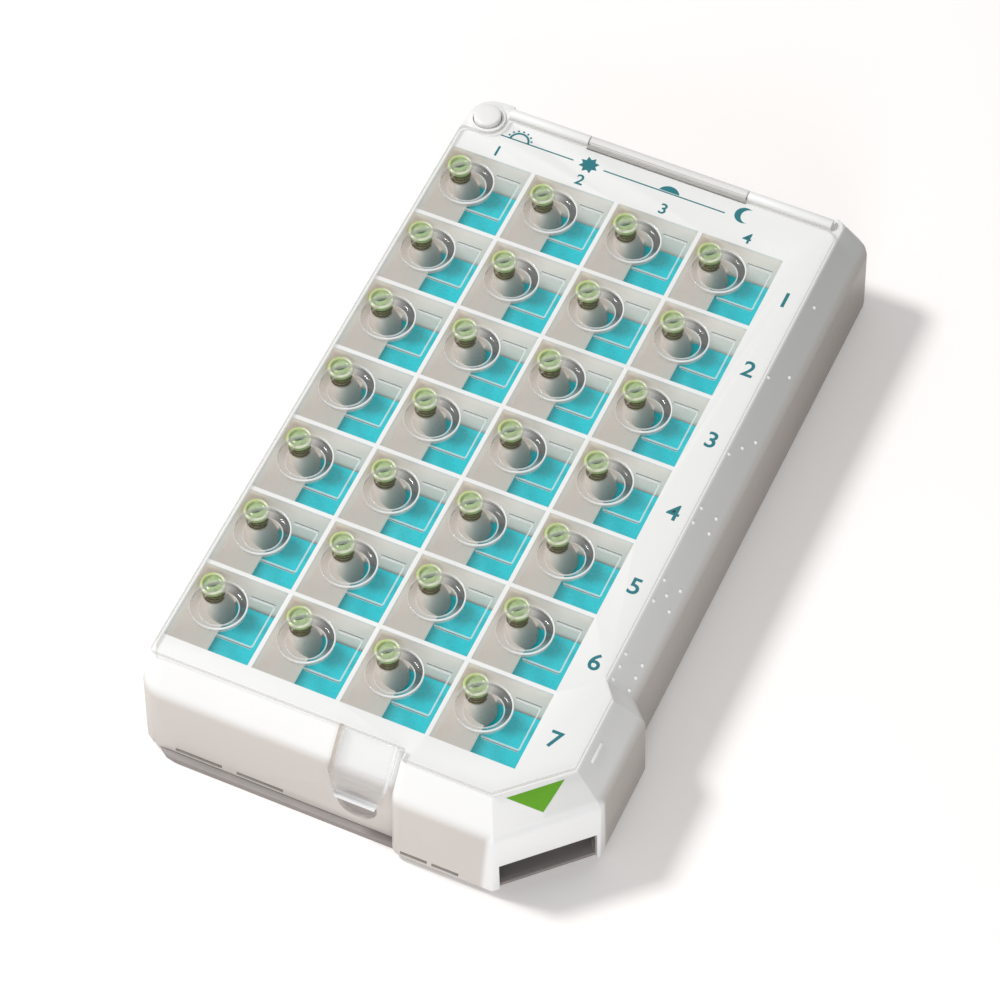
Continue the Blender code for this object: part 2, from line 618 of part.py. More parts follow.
casing = solid(
    "casing",
    loft([
        at_height(FOOT_OUTLINE, CASING_BOTTOM_Z),
        at_height(CASING_OUTLINE, CASING_BEVEL_Z),
        at_height(RIM_OUTLINE, CASING_TOP_Z),
    ]),
    PARTS,
)
cut_by(casing, "hinge_recess", box(
    (HINGE_LEFT_X - RECESS_END_GAP, HINGE_Y + RECESS_BEHIND_AXIS, TROUGH_FLOOR_Z),
    (HINGE_RIGHT_X + RECESS_END_GAP, CASING_BACK_Y + OVERCUT, CASING_TOP_Z + OVERCUT),
))
left_knuckle = rod_x(
    HINGE_Y, HINGE_Z, HINGE_RADIUS, HINGE_LEFT_X, KNUCKLE_LEFT_X + OVERCUT, HINGE_SEGMENTS
)
right_knuckle = rod_x(
    HINGE_Y, HINGE_Z, HINGE_RADIUS, KNUCKLE_RIGHT_X - OVERCUT, HINGE_RIGHT_X, HINGE_SEGMENTS
)
collar = turned(
    (
        (CORNER_COLLAR_RADIUS, CASING_TOP_Z - OVERCUT),
        (CORNER_COLLAR_RADIUS, CORNER_COLLAR_TOP_Z),
    ),
    CORNER_SEGMENTS, CORNER_X, CORNER_Y,
)
cut_by(casing, "casing_raised_parts", joined((left_knuckle, right_knuckle, collar)), "UNION")
cut_by(
    casing,
    "tray_space",
    loft([
        at_height(inset(FOOT_OUTLINE, CASING_WALL), CASING_BOTTOM_Z - OVERCUT),
        at_height(inset(CASING_OUTLINE, CASING_WALL), CELL_FLOOR_Z),
    ]),
)

cell_shapes = []
ramp_shapes = []
cone_shapes = []
bore_shapes = []
for row, column in each_cell():
    corner_x, corner_y = cell_corner(row, column)
    cell_shapes.append(box(
        (corner_x + HALF_WALL, corner_y - CELL_PITCH_Y + HALF_WALL, CELL_FLOOR_Z - OVERCUT),
        (corner_x + CELL_PITCH_X - HALF_WALL, corner_y - HALF_WALL, CASING_TOP_Z + OVERCUT),
    ))
    ramp_left_x = corner_x + HALF_WALL - RAMP_SEAT
    ramp_shapes.append(beam_y(
        (
            (ramp_left_x, RAMP_TOP_Z - RAMP_WALL),
            (ramp_left_x, RAMP_TOP_Z),
            (corner_x + RAMP_WIDTH, RAMP_LOW_Z + RAMP_EDGE),
            (corner_x + RAMP_WIDTH, RAMP_LOW_Z),
        ),
        corner_y - CELL_PITCH_Y + HALF_WALL - RAMP_SEAT,
        corner_y - HALF_WALL + RAMP_SEAT,
    ))
    cone_x = corner_x + CONE_FROM_LEFT
    cone_y = corner_y - CONE_FROM_BACK
    cone_shapes.append(turned(
        ((CONE_BOTTOM_RADIUS, CONE_BOTTOM_Z), (CONE_TOP_RADIUS, CONE_TOP_Z)),
        CONE_SEGMENTS, cone_x, cone_y,
    ))
    bore_shapes.append(turned(
        (
            (BORE_WIDE_RADIUS, CONE_BOTTOM_Z - OVERCUT),
            (BORE_WIDE_RADIUS, BORE_WIDE_TOP_Z),
            (BORE_RADIUS, BORE_WIDE_TOP_Z),
            (BORE_RADIUS, CONE_TOP_Z + OVERCUT),
        ),
        CONE_SEGMENTS, cone_x, cone_y,
    ))
cut_by(casing, "compartments", joined(cell_shapes))

side_section = (
    (SIDE_POCKET_LEFT_X, POCKET_BOTTOM_Z),
    (SIDE_POCKET_LEFT_X, POCKET_TOP_Z),
    (RIM_RIGHT_X - POCKET_RIM_MARGIN, POCKET_TOP_Z),
    (CASING_RIGHT_X - CASING_WALL, POCKET_BEND_Z),
    (CASING_RIGHT_X - CASING_WALL, POCKET_BOTTOM_Z),
)
hip_section = (
    (SIDE_POCKET_LEFT_X, POCKET_BOTTOM_Z),
    (SIDE_POCKET_LEFT_X, POCKET_TOP_Z),
    (RIM_HIP_X - POCKET_RIM_MARGIN, POCKET_TOP_Z),
    (CASING_HIP_X - CASING_WALL, POCKET_BEND_Z),
    (CASING_HIP_X - CASING_WALL, POCKET_BOTTOM_Z),
)
front_section = (
    (CASING_FRONT_Y + CASING_WALL, POCKET_BOTTOM_Z),
    (FRONT_POCKET_BACK_Y, POCKET_BOTTOM_Z),
    (FRONT_POCKET_BACK_Y, POCKET_TOP_Z),
    (RIM_FRONT_Y + POCKET_RIM_MARGIN, POCKET_TOP_Z),
    (CASING_FRONT_Y + CASING_WALL, POCKET_BEND_Z),
)
block_section = (
    (CASING_BLOCK_Y + CASING_WALL, POCKET_BOTTOM_Z),
    (FRONT_POCKET_BACK_Y, POCKET_BOTTOM_Z),
    (FRONT_POCKET_BACK_Y, POCKET_TOP_Z),
    (RIM_BLOCK_Y + POCKET_RIM_MARGIN, POCKET_TOP_Z),
    (CASING_BLOCK_Y + CASING_WALL, POCKET_BEND_Z),
)
cut_by(casing, "pockets", joined((
    beam_y(side_section, SIDE_POCKET_FRONT_Y, SIDE_POCKET_BACK_Y),
    beam_y(hip_section, HIP_POCKET_FRONT_Y, HIP_POCKET_BACK_Y),
    beam_x(front_section, RIM_LEFT_X + CASING_WALL, BLOCK_START_X - POCKET_GAP),
    beam_x(block_section, BLOCK_START_X + CASING_WALL, RIM_CHAMFER_START_X - POCKET_GAP),
    box(
        (CORNER_POCKET_RIGHT_X + POCKET_GAP, HEADER_POCKET_FRONT_Y, POCKET_BOTTOM_Z),
        (RIM_RIGHT_X - CASING_WALL, HEADER_POCKET_BACK_Y, POCKET_TOP_Z),
    ),
    box(
        (RIM_LEFT_X + POCKET_GAP, HEADER_POCKET_FRONT_Y, POCKET_BOTTOM_Z),
        (CORNER_POCKET_RIGHT_X, RIM_BACK_Y - CASING_WALL, CORNER_POCKET_TOP_Z),
    ),
)))

first_slot_x = FOOT_LEFT_X + SLOT_FROM_CORNER
slot_spans = [
    (first_slot_x + step * SLOT_SPACING, first_slot_x + step * SLOT_SPACING + SLOT_LENGTH)
    for step in range(SLOTS)
]
first_slot_x = BLOCK_START_X + BLOCK_SLOT_FROM_EDGE
block_slot_spans = [
    (first_slot_x + step * BLOCK_SLOT_SPACING, first_slot_x + step * BLOCK_SLOT_SPACING + BLOCK_SLOT_LENGTH)
    for step in range(SLOTS)
]
openings = [outlet_shape(CASING_BOTTOM_Z - OVERCUT, OUTLET_TOP_Z)]
for low_x, high_x in slot_spans:
    openings.append(box(
        (low_x, FOOT_FRONT_Y - OVERCUT, SLOT_BOTTOM_Z),
        (high_x, FOOT_FRONT_Y + SLOT_REACH, SLOT_TOP_Z),
    ))
for low_x, high_x in block_slot_spans:
    openings.append(box(
        (low_x, FOOT_BLOCK_Y - OVERCUT, SLOT_BOTTOM_Z),
        (high_x, FOOT_BLOCK_Y + SLOT_REACH, SLOT_TOP_Z),
    ))
scoop_section = [
    (SCOOP_CENTRE_X + x, SCOOP_CENTRE_Z - z) for x, z in circle(SCOOP_RADIUS, SCOOP_SEGMENTS)
]
openings.append(beam_y(scoop_section, FOOT_FRONT_Y - OVERCUT, CASING_FRONT_Y))
openings.append(box(
    (KNUCKLE_LEFT_X, TROUGH_FRONT_Y, TROUGH_FLOOR_Z),
    (KNUCKLE_RIGHT_X, CASING_BACK_Y + OVERCUT, HINGE_Z + HINGE_RADIUS + OVERCUT),
))
openings.append(turned(
    (
        (CORNER_STEM_BORE_RADIUS, CORNER_POCKET_TOP_Z - OVERCUT),
        (CORNER_STEM_BORE_RADIUS, CORNER_BORE_FLOOR_Z),
        (CORNER_BORE_RADIUS, CORNER_BORE_FLOOR_Z),
        (CORNER_BORE_RADIUS, CORNER_COLLAR_TOP_Z + OVERCUT),
    ),
    CORNER_SEGMENTS, CORNER_X, CORNER_Y,
))
cut_by(casing, "wall_openings", joined(openings))
pin_bore = PIN_RADIUS + PIN_CLEARANCE
left_bore_end = KNUCKLE_LEFT_X - PIN_REACH - PIN_CLEARANCE
right_bore_end = KNUCKLE_RIGHT_X + PIN_REACH + PIN_CLEARANCE
cut_by(casing, "hinge_bores", joined((
    rod_x(HINGE_Y, HINGE_Z, pin_bore, left_bore_end, KNUCKLE_LEFT_X + OVERCUT, PIN_SEGMENTS),
    rod_x(HINGE_Y, HINGE_Z, pin_bore, KNUCKLE_RIGHT_X - OVERCUT, right_bore_end, PIN_SEGMENTS),
)))
cut_by(casing, "compartment_ramps", joined(ramp_shapes), "UNION")
cut_by(casing, "guide_cones", joined(cone_shapes), "UNION")
cut_by(casing, "stem_bores", joined(bore_shapes))

pivot_shapes = []
for row in range(ROWS):
    pivot_y = GRID_BACK_Y - row * CELL_PITCH_Y - FLAP_AXIS_FROM_BACK
    pivot_shapes.append(rod_x(
        pivot_y, FLAP_AXIS_Z, PIVOT_BORE_RADIUS,
        GRID_LEFT_X + HALF_WALL - PIVOT_BORE_END, GRID_RIGHT_X - HALF_WALL + PIVOT_BORE_END, PIVOT_SEGMENTS,
    ))
cut_by(casing, "pivot_bores", joined(pivot_shapes))
finish(casing, material("white_plastic", WHITE_COLOR, GLOSS_ROUGHNESS_SHARE))

# Collecting tray: closes the box underneath and carries what drops to the outlet

tray = solid(
    "base_tray",
    loft([
        at_height(inset(FOOT_OUTLINE, TRAY_LIP_INSET), TRAY_UNDERCUT),
        at_height(inset(FOOT_OUTLINE, TRAY_LIP_TOP_INSET), TRAY_LIP_TOP_Z),
    ]),
    PARTS,
)
tray_foot_outline = (
    (FOOT_LEFT_X + TRAY_FOOT_LEFT_INSET, FOOT_BLOCK_Y + TRAY_FOOT_INSET, TRAY_FOOT_RADIUS),
    *inset(FOOT_OUTLINE, TRAY_FOOT_INSET)[OUTLET_CORNER_INDEX:-1],
    (FOOT_LEFT_X + TRAY_FOOT_LEFT_INSET, FOOT_BACK_Y - TRAY_FOOT_INSET, TRAY_FOOT_RADIUS),
)
cut_by(tray, "tray_foot", prism(rounded(tray_foot_outline), 0, TRAY_FOOT_TOP_Z), "UNION")
clips = []
for spans, wall_y in ((slot_spans, FOOT_FRONT_Y), (block_slot_spans, FOOT_BLOCK_Y)):
    for low_x, high_x in spans:
        face_y = wall_y + TRAY_LIP_INSET
        clips.append(box(
            (low_x + CLIP_END_GAP, face_y - CLIP_REACH, CLIP_BOTTOM_Z),
            (high_x - CLIP_END_GAP, face_y + CLIP_ROOT, CLIP_TOP_Z),
        ))
cut_by(tray, "tray_clips", joined(clips), "UNION")
cut_by(
    tray,
    "tray_hollow",
    prism(rounded(inset(FOOT_OUTLINE, TRAY_INNER_INSET)), TRAY_FLOOR_Z, TRAY_LIP_TOP_Z + OVERCUT),
)
cut_by(tray, "tray_mouth", outlet_shape(TRAY_FLOOR_Z, TRAY_LIP_TOP_Z + OVERCUT))
finish(tray, material("tray_plastic", GREY_COLOR, MATTE_ROUGHNESS_SHARE))

# Lid: clear sheet with a rimmed finger opening over each compartment, turning on its barrel

hinge_origin = (0, HINGE_Y, HINGE_Z)
lid = solid("lid", prism(rounded(LID_OUTLINE), LID_BOTTOM_Z, LID_TOP_Z), PARTS, hinge_origin)
barrel_low_x = KNUCKLE_LEFT_X + KNUCKLE_GAP
barrel_high_x = KNUCKLE_RIGHT_X - KNUCKLE_GAP
cut_by(
    lid,
    "lid_web",
    box((barrel_low_x, LID_BACK_Y - OVERCUT, LID_BOTTOM_Z), (barrel_high_x, HINGE_Y, LID_TOP_Z)),
    "UNION",
)
cut_by(
    lid,
    "lid_barrel",
    rod_x(HINGE_Y, HINGE_Z, HINGE_RADIUS, barrel_low_x, barrel_high_x, HINGE_SEGMENTS),
    "UNION",
)
pin_low_x = KNUCKLE_LEFT_X - PIN_REACH
pin_high_x = KNUCKLE_RIGHT_X + PIN_REACH
cut_by(
    lid,
    "lid_pin",
    rod_x(HINGE_Y, HINGE_Z, PIN_RADIUS, pin_low_x, pin_high_x, PIN_SEGMENTS),
    "UNION",
)


def tongue_ring(left_x, right_x, face, inner):
    """Four corners across the tongue: face and inner are (y, z) of its outer and inner side."""
    return [(left_x, *face), (right_x, *face), (right_x, *inner), (left_x, *inner)]


tongue_shape = loft([
    tongue_ring(
        TONGUE_TIP_LEFT_X, TONGUE_TIP_RIGHT_X,
        (TONGUE_TIP_FACE_Y, TONGUE_TIP_Z), (TONGUE_TIP_INNER_Y, TONGUE_TIP_Z),
    ),
    tongue_ring(
        TONGUE_LEFT_X, TONGUE_RIGHT_X,
        (TONGUE_FACE_Y, TONGUE_FACE_Z), (TONGUE_INNER_Y, TONGUE_INNER_Z),
    ),
    tongue_ring(
        TONGUE_LEFT_X, TONGUE_RIGHT_X,
        (TONGUE_SHOULDER_Y, LID_TOP_Z), (TONGUE_INNER_SHOULDER_Y, LID_BOTTOM_Z),
    ),
    tongue_ring(
        TONGUE_LEFT_X, TONGUE_RIGHT_X,
        (TONGUE_ROOT_Y, LID_TOP_Z), (TONGUE_ROOT_Y, LID_BOTTOM_Z),
    ),
])
cut_by(lid, "latch_tongue", tongue_shape, "UNION")
rim_shapes = []
hole_shapes = []
for row, column in each_cell():
    corner_x, corner_y = cell_corner(row, column)
    finger_x = corner_x + FINGER_FROM_LEFT
    finger_y = corner_y - FINGER_FROM_BACK
    rim_shapes.append(turned(
        (
            (FINGER_RIM_RADIUS, (LID_BOTTOM_Z + LID_TOP_Z) * HALF_SHARE),
            (FINGER_RIM_RADIUS, FINGER_RIM_Z),
        ),
        FINGER_SEGMENTS, finger_x, finger_y,
    ))
    hole_shapes.append(turned(
        ((FINGER_RADIUS, LID_BOTTOM_Z - OVERCUT), (FINGER_RADIUS, FINGER_RIM_Z + OVERCUT)),
        FINGER_SEGMENTS, finger_x, finger_y,
    ))
cut_by(lid, "finger_rims", joined(rim_shapes), "UNION")
cut_by(lid, "finger_openings", joined(hole_shapes))
finish(lid, material("clear_plastic", CLEAR_COLOR, GLOSS_ROUGHNESS_SHARE, CLEAR_ALPHA_SHARE))

# Corner button: round push button in the collar at the back left corner

corner_profile = (
    (CORNER_STOP_RADIUS, CORNER_STOP_BOTTOM_Z),
    (CORNER_STOP_RADIUS, CORNER_STOP_TOP_Z),
    (CORNER_STEM_RADIUS, CORNER_STOP_TOP_Z),
    (CORNER_STEM_RADIUS, CORNER_BUTTON_BOTTOM_Z),
    (CORNER_BUTTON_RADIUS, CORNER_BUTTON_BOTTOM_Z),
    (CORNER_BUTTON_RADIUS, CORNER_BUTTON_TOP_Z - CORNER_BUTTON_EDGE),
    (CORNER_BUTTON_RADIUS - CORNER_BUTTON_EDGE, CORNER_BUTTON_TOP_Z),
)
corner_button = solid(
    "corner_button",
    turned(corner_profile, CORNER_SEGMENTS, CORNER_X, CORNER_Y),
    PARTS,
    (CORNER_X, CORNER_Y, CORNER_BUTTON_BOTTOM_Z),
)
finish(corner_button, material("white_button_plastic", WHITE_COLOR, GLOSS_ROUGHNESS_SHARE))

# Push buttons and floor flaps, one of each to a compartment

button_profile = (
    (BUTTON_TIP_RADIUS, BUTTON_TIP_Z),
    (BUTTON_STEM_RADIUS, BUTTON_TIP_Z + BUTTON_TAPER),
    (BUTTON_STEM_RADIUS, STOP_BOTTOM_Z),
    (STOP_RADIUS, STOP_BOTTOM_Z),
    (STOP_RADIUS, STOP_TOP_Z),
    (BUTTON_STEM_RADIUS, STOP_TOP_Z),
    (BUTTON_STEM_RADIUS, BUTTON_CAP_BOTTOM_Z),
    (BUTTON_CAP_RADIUS, BUTTON_CAP_BOTTOM_Z),
    (BUTTON_CAP_RADIUS, BUTTON_TOP_Z - BUTTON_CAP_EDGE),
    (BUTTON_CAP_RADIUS - BUTTON_CAP_EDGE, BUTTON_TOP_Z),
    (BUTTON_CAP_RADIUS - DIMPLE_EDGE, BUTTON_TOP_Z - DIMPLE_DEPTH * HALF_SHARE),
    (BUTTON_TIP_RADIUS, BUTTON_TOP_Z - DIMPLE_DEPTH),
)
for row, column in each_cell():
    corner_x, corner_y = cell_corner(row, column)
    place = f"r{row + 1}c{column + 1}"
    button_x = corner_x + CONE_FROM_LEFT
    button_y = corner_y - CONE_FROM_BACK
    button = solid(
        f"button_{place}",
        turned(button_profile, BUTTON_SEGMENTS, button_x, button_y),
        PARTS,
        (button_x, button_y, BUTTON_CAP_BOTTOM_Z),
    )
    finish(button, material(f"green_{place}", GREEN_COLOR, GLOSS_ROUGHNESS_SHARE, GREEN_ALPHA_SHARE))

    left_x = corner_x + HALF_WALL + FLAP_SIDE_GAP
    right_x = corner_x + CELL_PITCH_X - HALF_WALL - FLAP_SIDE_GAP
    front_y = corner_y - CELL_PITCH_Y + HALF_WALL + FLAP_SIDE_GAP
    axis_y = corner_y - FLAP_AXIS_FROM_BACK
    heel_y = axis_y + FLAP_HEEL
    half_pin = FLAP_PIN_WIDTH * HALF_SHARE
    flap_outline = (
        (left_x, front_y),
        (right_x, front_y),
        (right_x, axis_y - half_pin),
        (right_x + FLAP_PIN_REACH, axis_y - half_pin),
        (right_x + FLAP_PIN_REACH, axis_y + half_pin),
        (right_x, axis_y + half_pin),
        (right_x, heel_y),
        (left_x, heel_y),
        (left_x, axis_y + half_pin),
        (left_x - FLAP_PIN_REACH, axis_y + half_pin),
        (left_x - FLAP_PIN_REACH, axis_y - half_pin),
        (left_x, axis_y - half_pin),
    )
    flap = solid(
        f"flap_{place}",
        prism(flap_outline, FLAP_AXIS_Z - HALF_FLAP, FLAP_TOP_Z),
        PARTS,
        ((left_x + right_x) * HALF_SHARE, axis_y, FLAP_AXIS_Z),
    )
    finish(flap, material(f"teal_{place}", TEAL_COLOR, MATTE_ROUGHNESS_SHARE))
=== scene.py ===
import bpy
import bmesh
import json
import math
from mathutils import Matrix, Vector


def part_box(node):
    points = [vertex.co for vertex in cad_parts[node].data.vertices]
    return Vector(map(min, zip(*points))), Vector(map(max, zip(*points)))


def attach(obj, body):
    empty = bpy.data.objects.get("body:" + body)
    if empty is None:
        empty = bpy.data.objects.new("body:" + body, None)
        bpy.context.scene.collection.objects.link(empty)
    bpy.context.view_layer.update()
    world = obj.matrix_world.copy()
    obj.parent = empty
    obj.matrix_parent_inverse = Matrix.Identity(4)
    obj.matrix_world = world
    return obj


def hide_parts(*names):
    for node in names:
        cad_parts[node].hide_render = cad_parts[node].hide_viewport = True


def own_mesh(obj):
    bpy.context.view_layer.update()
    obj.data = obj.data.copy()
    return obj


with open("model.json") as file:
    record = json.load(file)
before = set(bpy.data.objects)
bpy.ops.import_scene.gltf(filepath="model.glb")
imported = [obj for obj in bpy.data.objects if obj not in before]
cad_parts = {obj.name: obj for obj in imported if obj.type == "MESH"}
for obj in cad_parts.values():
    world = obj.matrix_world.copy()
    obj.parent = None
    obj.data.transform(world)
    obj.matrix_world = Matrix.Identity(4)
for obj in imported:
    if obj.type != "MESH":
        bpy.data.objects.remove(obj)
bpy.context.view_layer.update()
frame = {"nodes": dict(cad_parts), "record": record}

# Casing: one white moulding with the compartment walls, the back panel and the bevelled outlet
# corner. Satin white plastic from a spark-eroded tool, so its edges are slightly round and its
# faces carry a very fine grain. The collecting tray clips in from below.

MM = 0.001
BLACK = (0.0, 0.0, 0.0, 1.0)
WHITE = (0.86, 0.86, 0.85, 1.0)
# Painted shade: greyer, warmer tones on the upright walls, darker still on the right wall and towards its
# back, and a greyer right slope.
LOW_WALL_PAINTED_SHADE = (0.63, 0.59, 0.56, 1.0)
RIGHT_WALL_PAINTED_SHADE = (0.47, 0.435, 0.405, 1.0)
SIDE_WALL_SHADE = (0.33, 0.30, 0.275, 1.0)
SLOPE_PAINTED_SHADE = (0.58, 0.585, 0.57, 1.0)
# Painted light: the cut-off outlet corner is given a lighter, bluer white than the rest of the casing.
OUTLET_PAINTED_LIGHT = (0.89, 0.895, 0.90, 1.0)
# Painted shade and glow inside the compartments: a warmer tone, and a weak painted glow in place of light
# passing through the thin walls.
COMPARTMENT_PAINTED_SHADE = (0.87, 0.80, 0.75, 1.0)
COMPARTMENT_PAINTED_GLOW = (0.135, 0.112, 0.10, 1.0)
SCOOP_SHADE = (0.32, 0.29, 0.28, 1.0)
CLOUD_GREY = (0.5, 0.48, 0.46, 1.0)
# Where one tone of the casing passes into the next, each as a band in millimetres
LOW_WALLS, RIGHT_SIDE, OUTLET_CORNER = (23, 27), (50, 56), (144.5, 146.5)
GRID_LEFT, GRID_RIGHT = (-60, -59.4), (39.0, 39.6)
GRID_FRONT, GRID_BACK = (-90.4, -89.8), (86.5, 87)
GRID_FLOOR, GRID_TOP = (17, 19), (31.5, 32.95)
SCOOP_X, SCOOP_Z = 1.2 * MM, 10.8 * MM
SCOOP_RIM, SCOOP_FRONT, SCOOP_BACK = (4.9, 5.7), (-103.05, -102.7), (-97, -96)
SLOPE_EDGE, SLOPE_TOP = (49.3, 50.1), (32.5, 32.97)
SLOPE_TO_BACK, SIDE_TO_BACK = (-90, 110), (-20, 110)
SLOPE_LEAST, SIDE_MOST = 0.3, 0.8
PLASTIC_IOR = 1.49
SATIN, SATIN_SPREAD, SATIN_PER_METRE = 0.30, 0.12, 420.0
CLOUDS_PER_METRE, CLOUD_SHARE = 55.0, 0.06
GRAIN_PER_METRE, GRAIN_STRENGTH, GRAIN_HEIGHT = 5200.0, 0.18, 0.02 * MM
WAVE_SHARE = 6.0
WELD_DISTANCE = 0.002 * MM
LEVEL_WITHIN = 0.02 * MM
FLAT_DEGREES, CREASE_DEGREES, EDGE_DEGREES, SHOULDER_DEGREES = 0.6, 32.0, 28, 2
EDGE_ROUND = 0.35 * MM
SHOULDER_HEIGHT = 24.8 * MM
SHOULDER_ROUND = 1.5 * MM


class Signal:
    """One output socket of a recipe; arithmetic on it adds the Math nodes that work it out."""

    def __init__(self, recipe, socket):
        self.recipe = recipe
        self.socket = socket

    def worked(self, operation, *operands):
        return self.recipe.add("ShaderNodeMath", {"operation": operation}, dict(enumerate(operands)))

    def __add__(self, other):
        return self.worked("ADD", self, other)

    def __radd__(self, other):
        return self.worked("ADD", other, self)

    def __sub__(self, other):
        return self.worked("SUBTRACT", self, other)

    def __rsub__(self, other):
        return self.worked("SUBTRACT", other, self)

    def __mul__(self, other):
        return self.worked("MULTIPLY", self, other)

    def __rmul__(self, other):
        return self.worked("MULTIPLY", other, self)

    def __truediv__(self, other):
        return self.worked("DIVIDE", self, other)

    def __pow__(self, other):
        return self.worked("POWER", self, other)

    def between(self, low, high):
        """0 below low, 1 above high, smooth in between."""
        feeds = {"Value": self, "From Min": low, "From Max": high}
        return self.recipe.add("ShaderNodeMapRange", {"interpolation_type": "SMOOTHSTEP"}, feeds)

    def rising(self, band):
        """0 below a band in millimetres, 1 above it."""
        return self.between(band[0] * MM, band[1] * MM)

    def falling(self, band):
        """1 below a band in millimetres, 0 above it."""
        return 1.0 - self.rising(band)

    def part(self, output):
        """Another output of the node that this signal comes from."""
        return Signal(self.recipe, self.socket.node.outputs[output])


class Recipe:
    """A tree of nodes, of a material or of a geometry modifier."""

    def __init__(self, tree):
        self.tree = tree

    def add(self, kind, settings=None, feeds=None, give=0):
        """A node of a type, with its settings and what its sockets are given; gives one output."""
        node = self.tree.nodes.new(kind)
        for key, value in (settings or {}).items():
            setattr(node, key, value)
        for key, fed in (feeds or {}).items():
            if isinstance(fed, Signal):
                self.tree.links.new(fed.socket, node.inputs[key])
            else:
                node.inputs[key].default_value = fed
        return None if give is None else Signal(self, node.outputs[give])

    def noise(self, place, per_metre, detail=2.0):
        feeds = {"Vector": place, "Scale": per_metre, "Detail": detail}
        return self.add("ShaderNodeTexNoise", {}, feeds, "Fac")

    def mixed(self, share, first, second):
        """A colour between two colours."""
        return self.add("ShaderNodeMix", {"data_type": "RGBA"}, {0: share, 6: first, 7: second}, 2)


def length_of(first, second):
    return (first * first + second * second) ** 0.5


class Plastic(Recipe):
    """A material of moulded plastic: what is the same all over it stands on the shader itself."""

    def __init__(self, name, **same_all_over):
        self.material = bpy.data.materials.new(name)
        self.material.use_nodes = True
        self.material.cycles.emission_sampling = "NONE"
        super().__init__(self.material.node_tree)
        self.shader = self.tree.nodes["Principled BSDF"]
        for key, value in same_all_over.items():
            self.shader.inputs[key.replace("_", " ")].default_value = value
        self.place = self.add("ShaderNodeTexCoord", give="Object")

    def feed(self, **varying):
        for key, value in varying.items():
            self.tree.links.new(value.socket, self.shader.inputs[key.replace("_", " ")])
        return self.material

    def coordinates(self):
        split = self.add("ShaderNodeSeparateXYZ", feeds={"Vector": self.place})
        return split, split.part("Y"), split.part("Z")

    def dulled(self, least, spread, per_metre):
        """A roughness that varies from place to place."""
        return least + self.noise(self.place, per_metre) * spread

    def grain(self, per_metre, strength, height, coarse=90.0):
        """Fine tool grain over the slow waviness that a moulded wall has."""
        fine = self.noise(self.place, per_metre, 3.0)
        slow = self.noise(self.place, coarse, 1.0)
        feeds = {"Height": fine + slow * WAVE_SHARE, "Strength": strength, "Distance": height}
        return self.add("ShaderNodeBump", {}, feeds, "Normal")


def casing_white_with_painted_shade():
    """Satin white, with painted shade and light set by place to follow the photographed light: painted shade,
    greyer and warmer, on the upright walls, darkest on the right one, on the right slope and in the scoop, a
    painted lighter tone on the cut-off corner, and a weak painted glow inside the compartments."""
    mix = Plastic("satin_white_with_painted_shade", IOR=PLASTIC_IOR, Emission_Strength=1.0)
    across, along, height = mix.coordinates()
    low = height.falling(LOW_WALLS)
    side = across.rising(RIGHT_SIDE)
    outlet = (across - along).rising(OUTLET_CORNER)
    within = across.rising(GRID_LEFT) * across.falling(GRID_RIGHT)
    within = within * along.rising(GRID_FRONT) * along.falling(GRID_BACK)
    within = within * height.falling(GRID_TOP) * height.rising(GRID_FLOOR)
    scoop = length_of(across - SCOOP_X, height - SCOOP_Z).falling(SCOOP_RIM)
    scoop = scoop * along.rising(SCOOP_FRONT) * along.falling(SCOOP_BACK)
    slope = across.rising(SLOPE_EDGE) * height.falling(SLOPE_TOP)
    slope = slope * (SLOPE_LEAST + along.rising(SLOPE_TO_BACK) * (1 - SLOPE_LEAST))
    tone = mix.mixed(slope, WHITE, SLOPE_PAINTED_SHADE)
    tone = mix.mixed(low, tone, LOW_WALL_PAINTED_SHADE)
    tone = mix.mixed(low * side, tone, RIGHT_WALL_PAINTED_SHADE)
    tone = mix.mixed(low * side * along.rising(SIDE_TO_BACK) * SIDE_MOST, tone, SIDE_WALL_SHADE)
    tone = mix.mixed(outlet, tone, OUTLET_PAINTED_LIGHT)
    tone = mix.mixed(within, tone, COMPARTMENT_PAINTED_SHADE)
    tone = mix.mixed(scoop, tone, SCOOP_SHADE)
    tone = mix.mixed(mix.noise(mix.place, CLOUDS_PER_METRE, 3.0) * CLOUD_SHARE, tone, CLOUD_GREY)
    return mix.feed(
        Base_Color=tone,
        Emission_Color=mix.mixed(within, BLACK, COMPARTMENT_PAINTED_GLOW),
        Roughness=mix.dulled(SATIN, SATIN_SPREAD, SATIN_PER_METRE),
        Normal=mix.grain(GRAIN_PER_METRE, GRAIN_STRENGTH, GRAIN_HEIGHT),
    )


def shaded_by_angle(mesh, degrees=CREASE_DEGREES):
    """Smooth faces with a crease wherever two meet at more than the angle."""
    mesh.shade_smooth()
    mesh.set_sharp_from_angle(angle=math.radians(degrees))


def mesh_object(name, mesh, material):
    piece = bpy.data.objects.new(name, mesh)
    bpy.context.scene.collection.objects.link(piece)
    if material:
        mesh.materials.clear()
        mesh.materials.append(material)
    return piece


def settled(piece, degrees=CREASE_DEGREES):
    """The piece with its modifiers worked into a plain mesh."""
    graph = bpy.context.evaluated_depsgraph_get()
    mesh = bpy.data.meshes.new_from_object(piece.evaluated_get(graph), depsgraph=graph)
    piece.modifiers.clear()
    piece.data = mesh
    shaded_by_angle(mesh, degrees)
    return piece


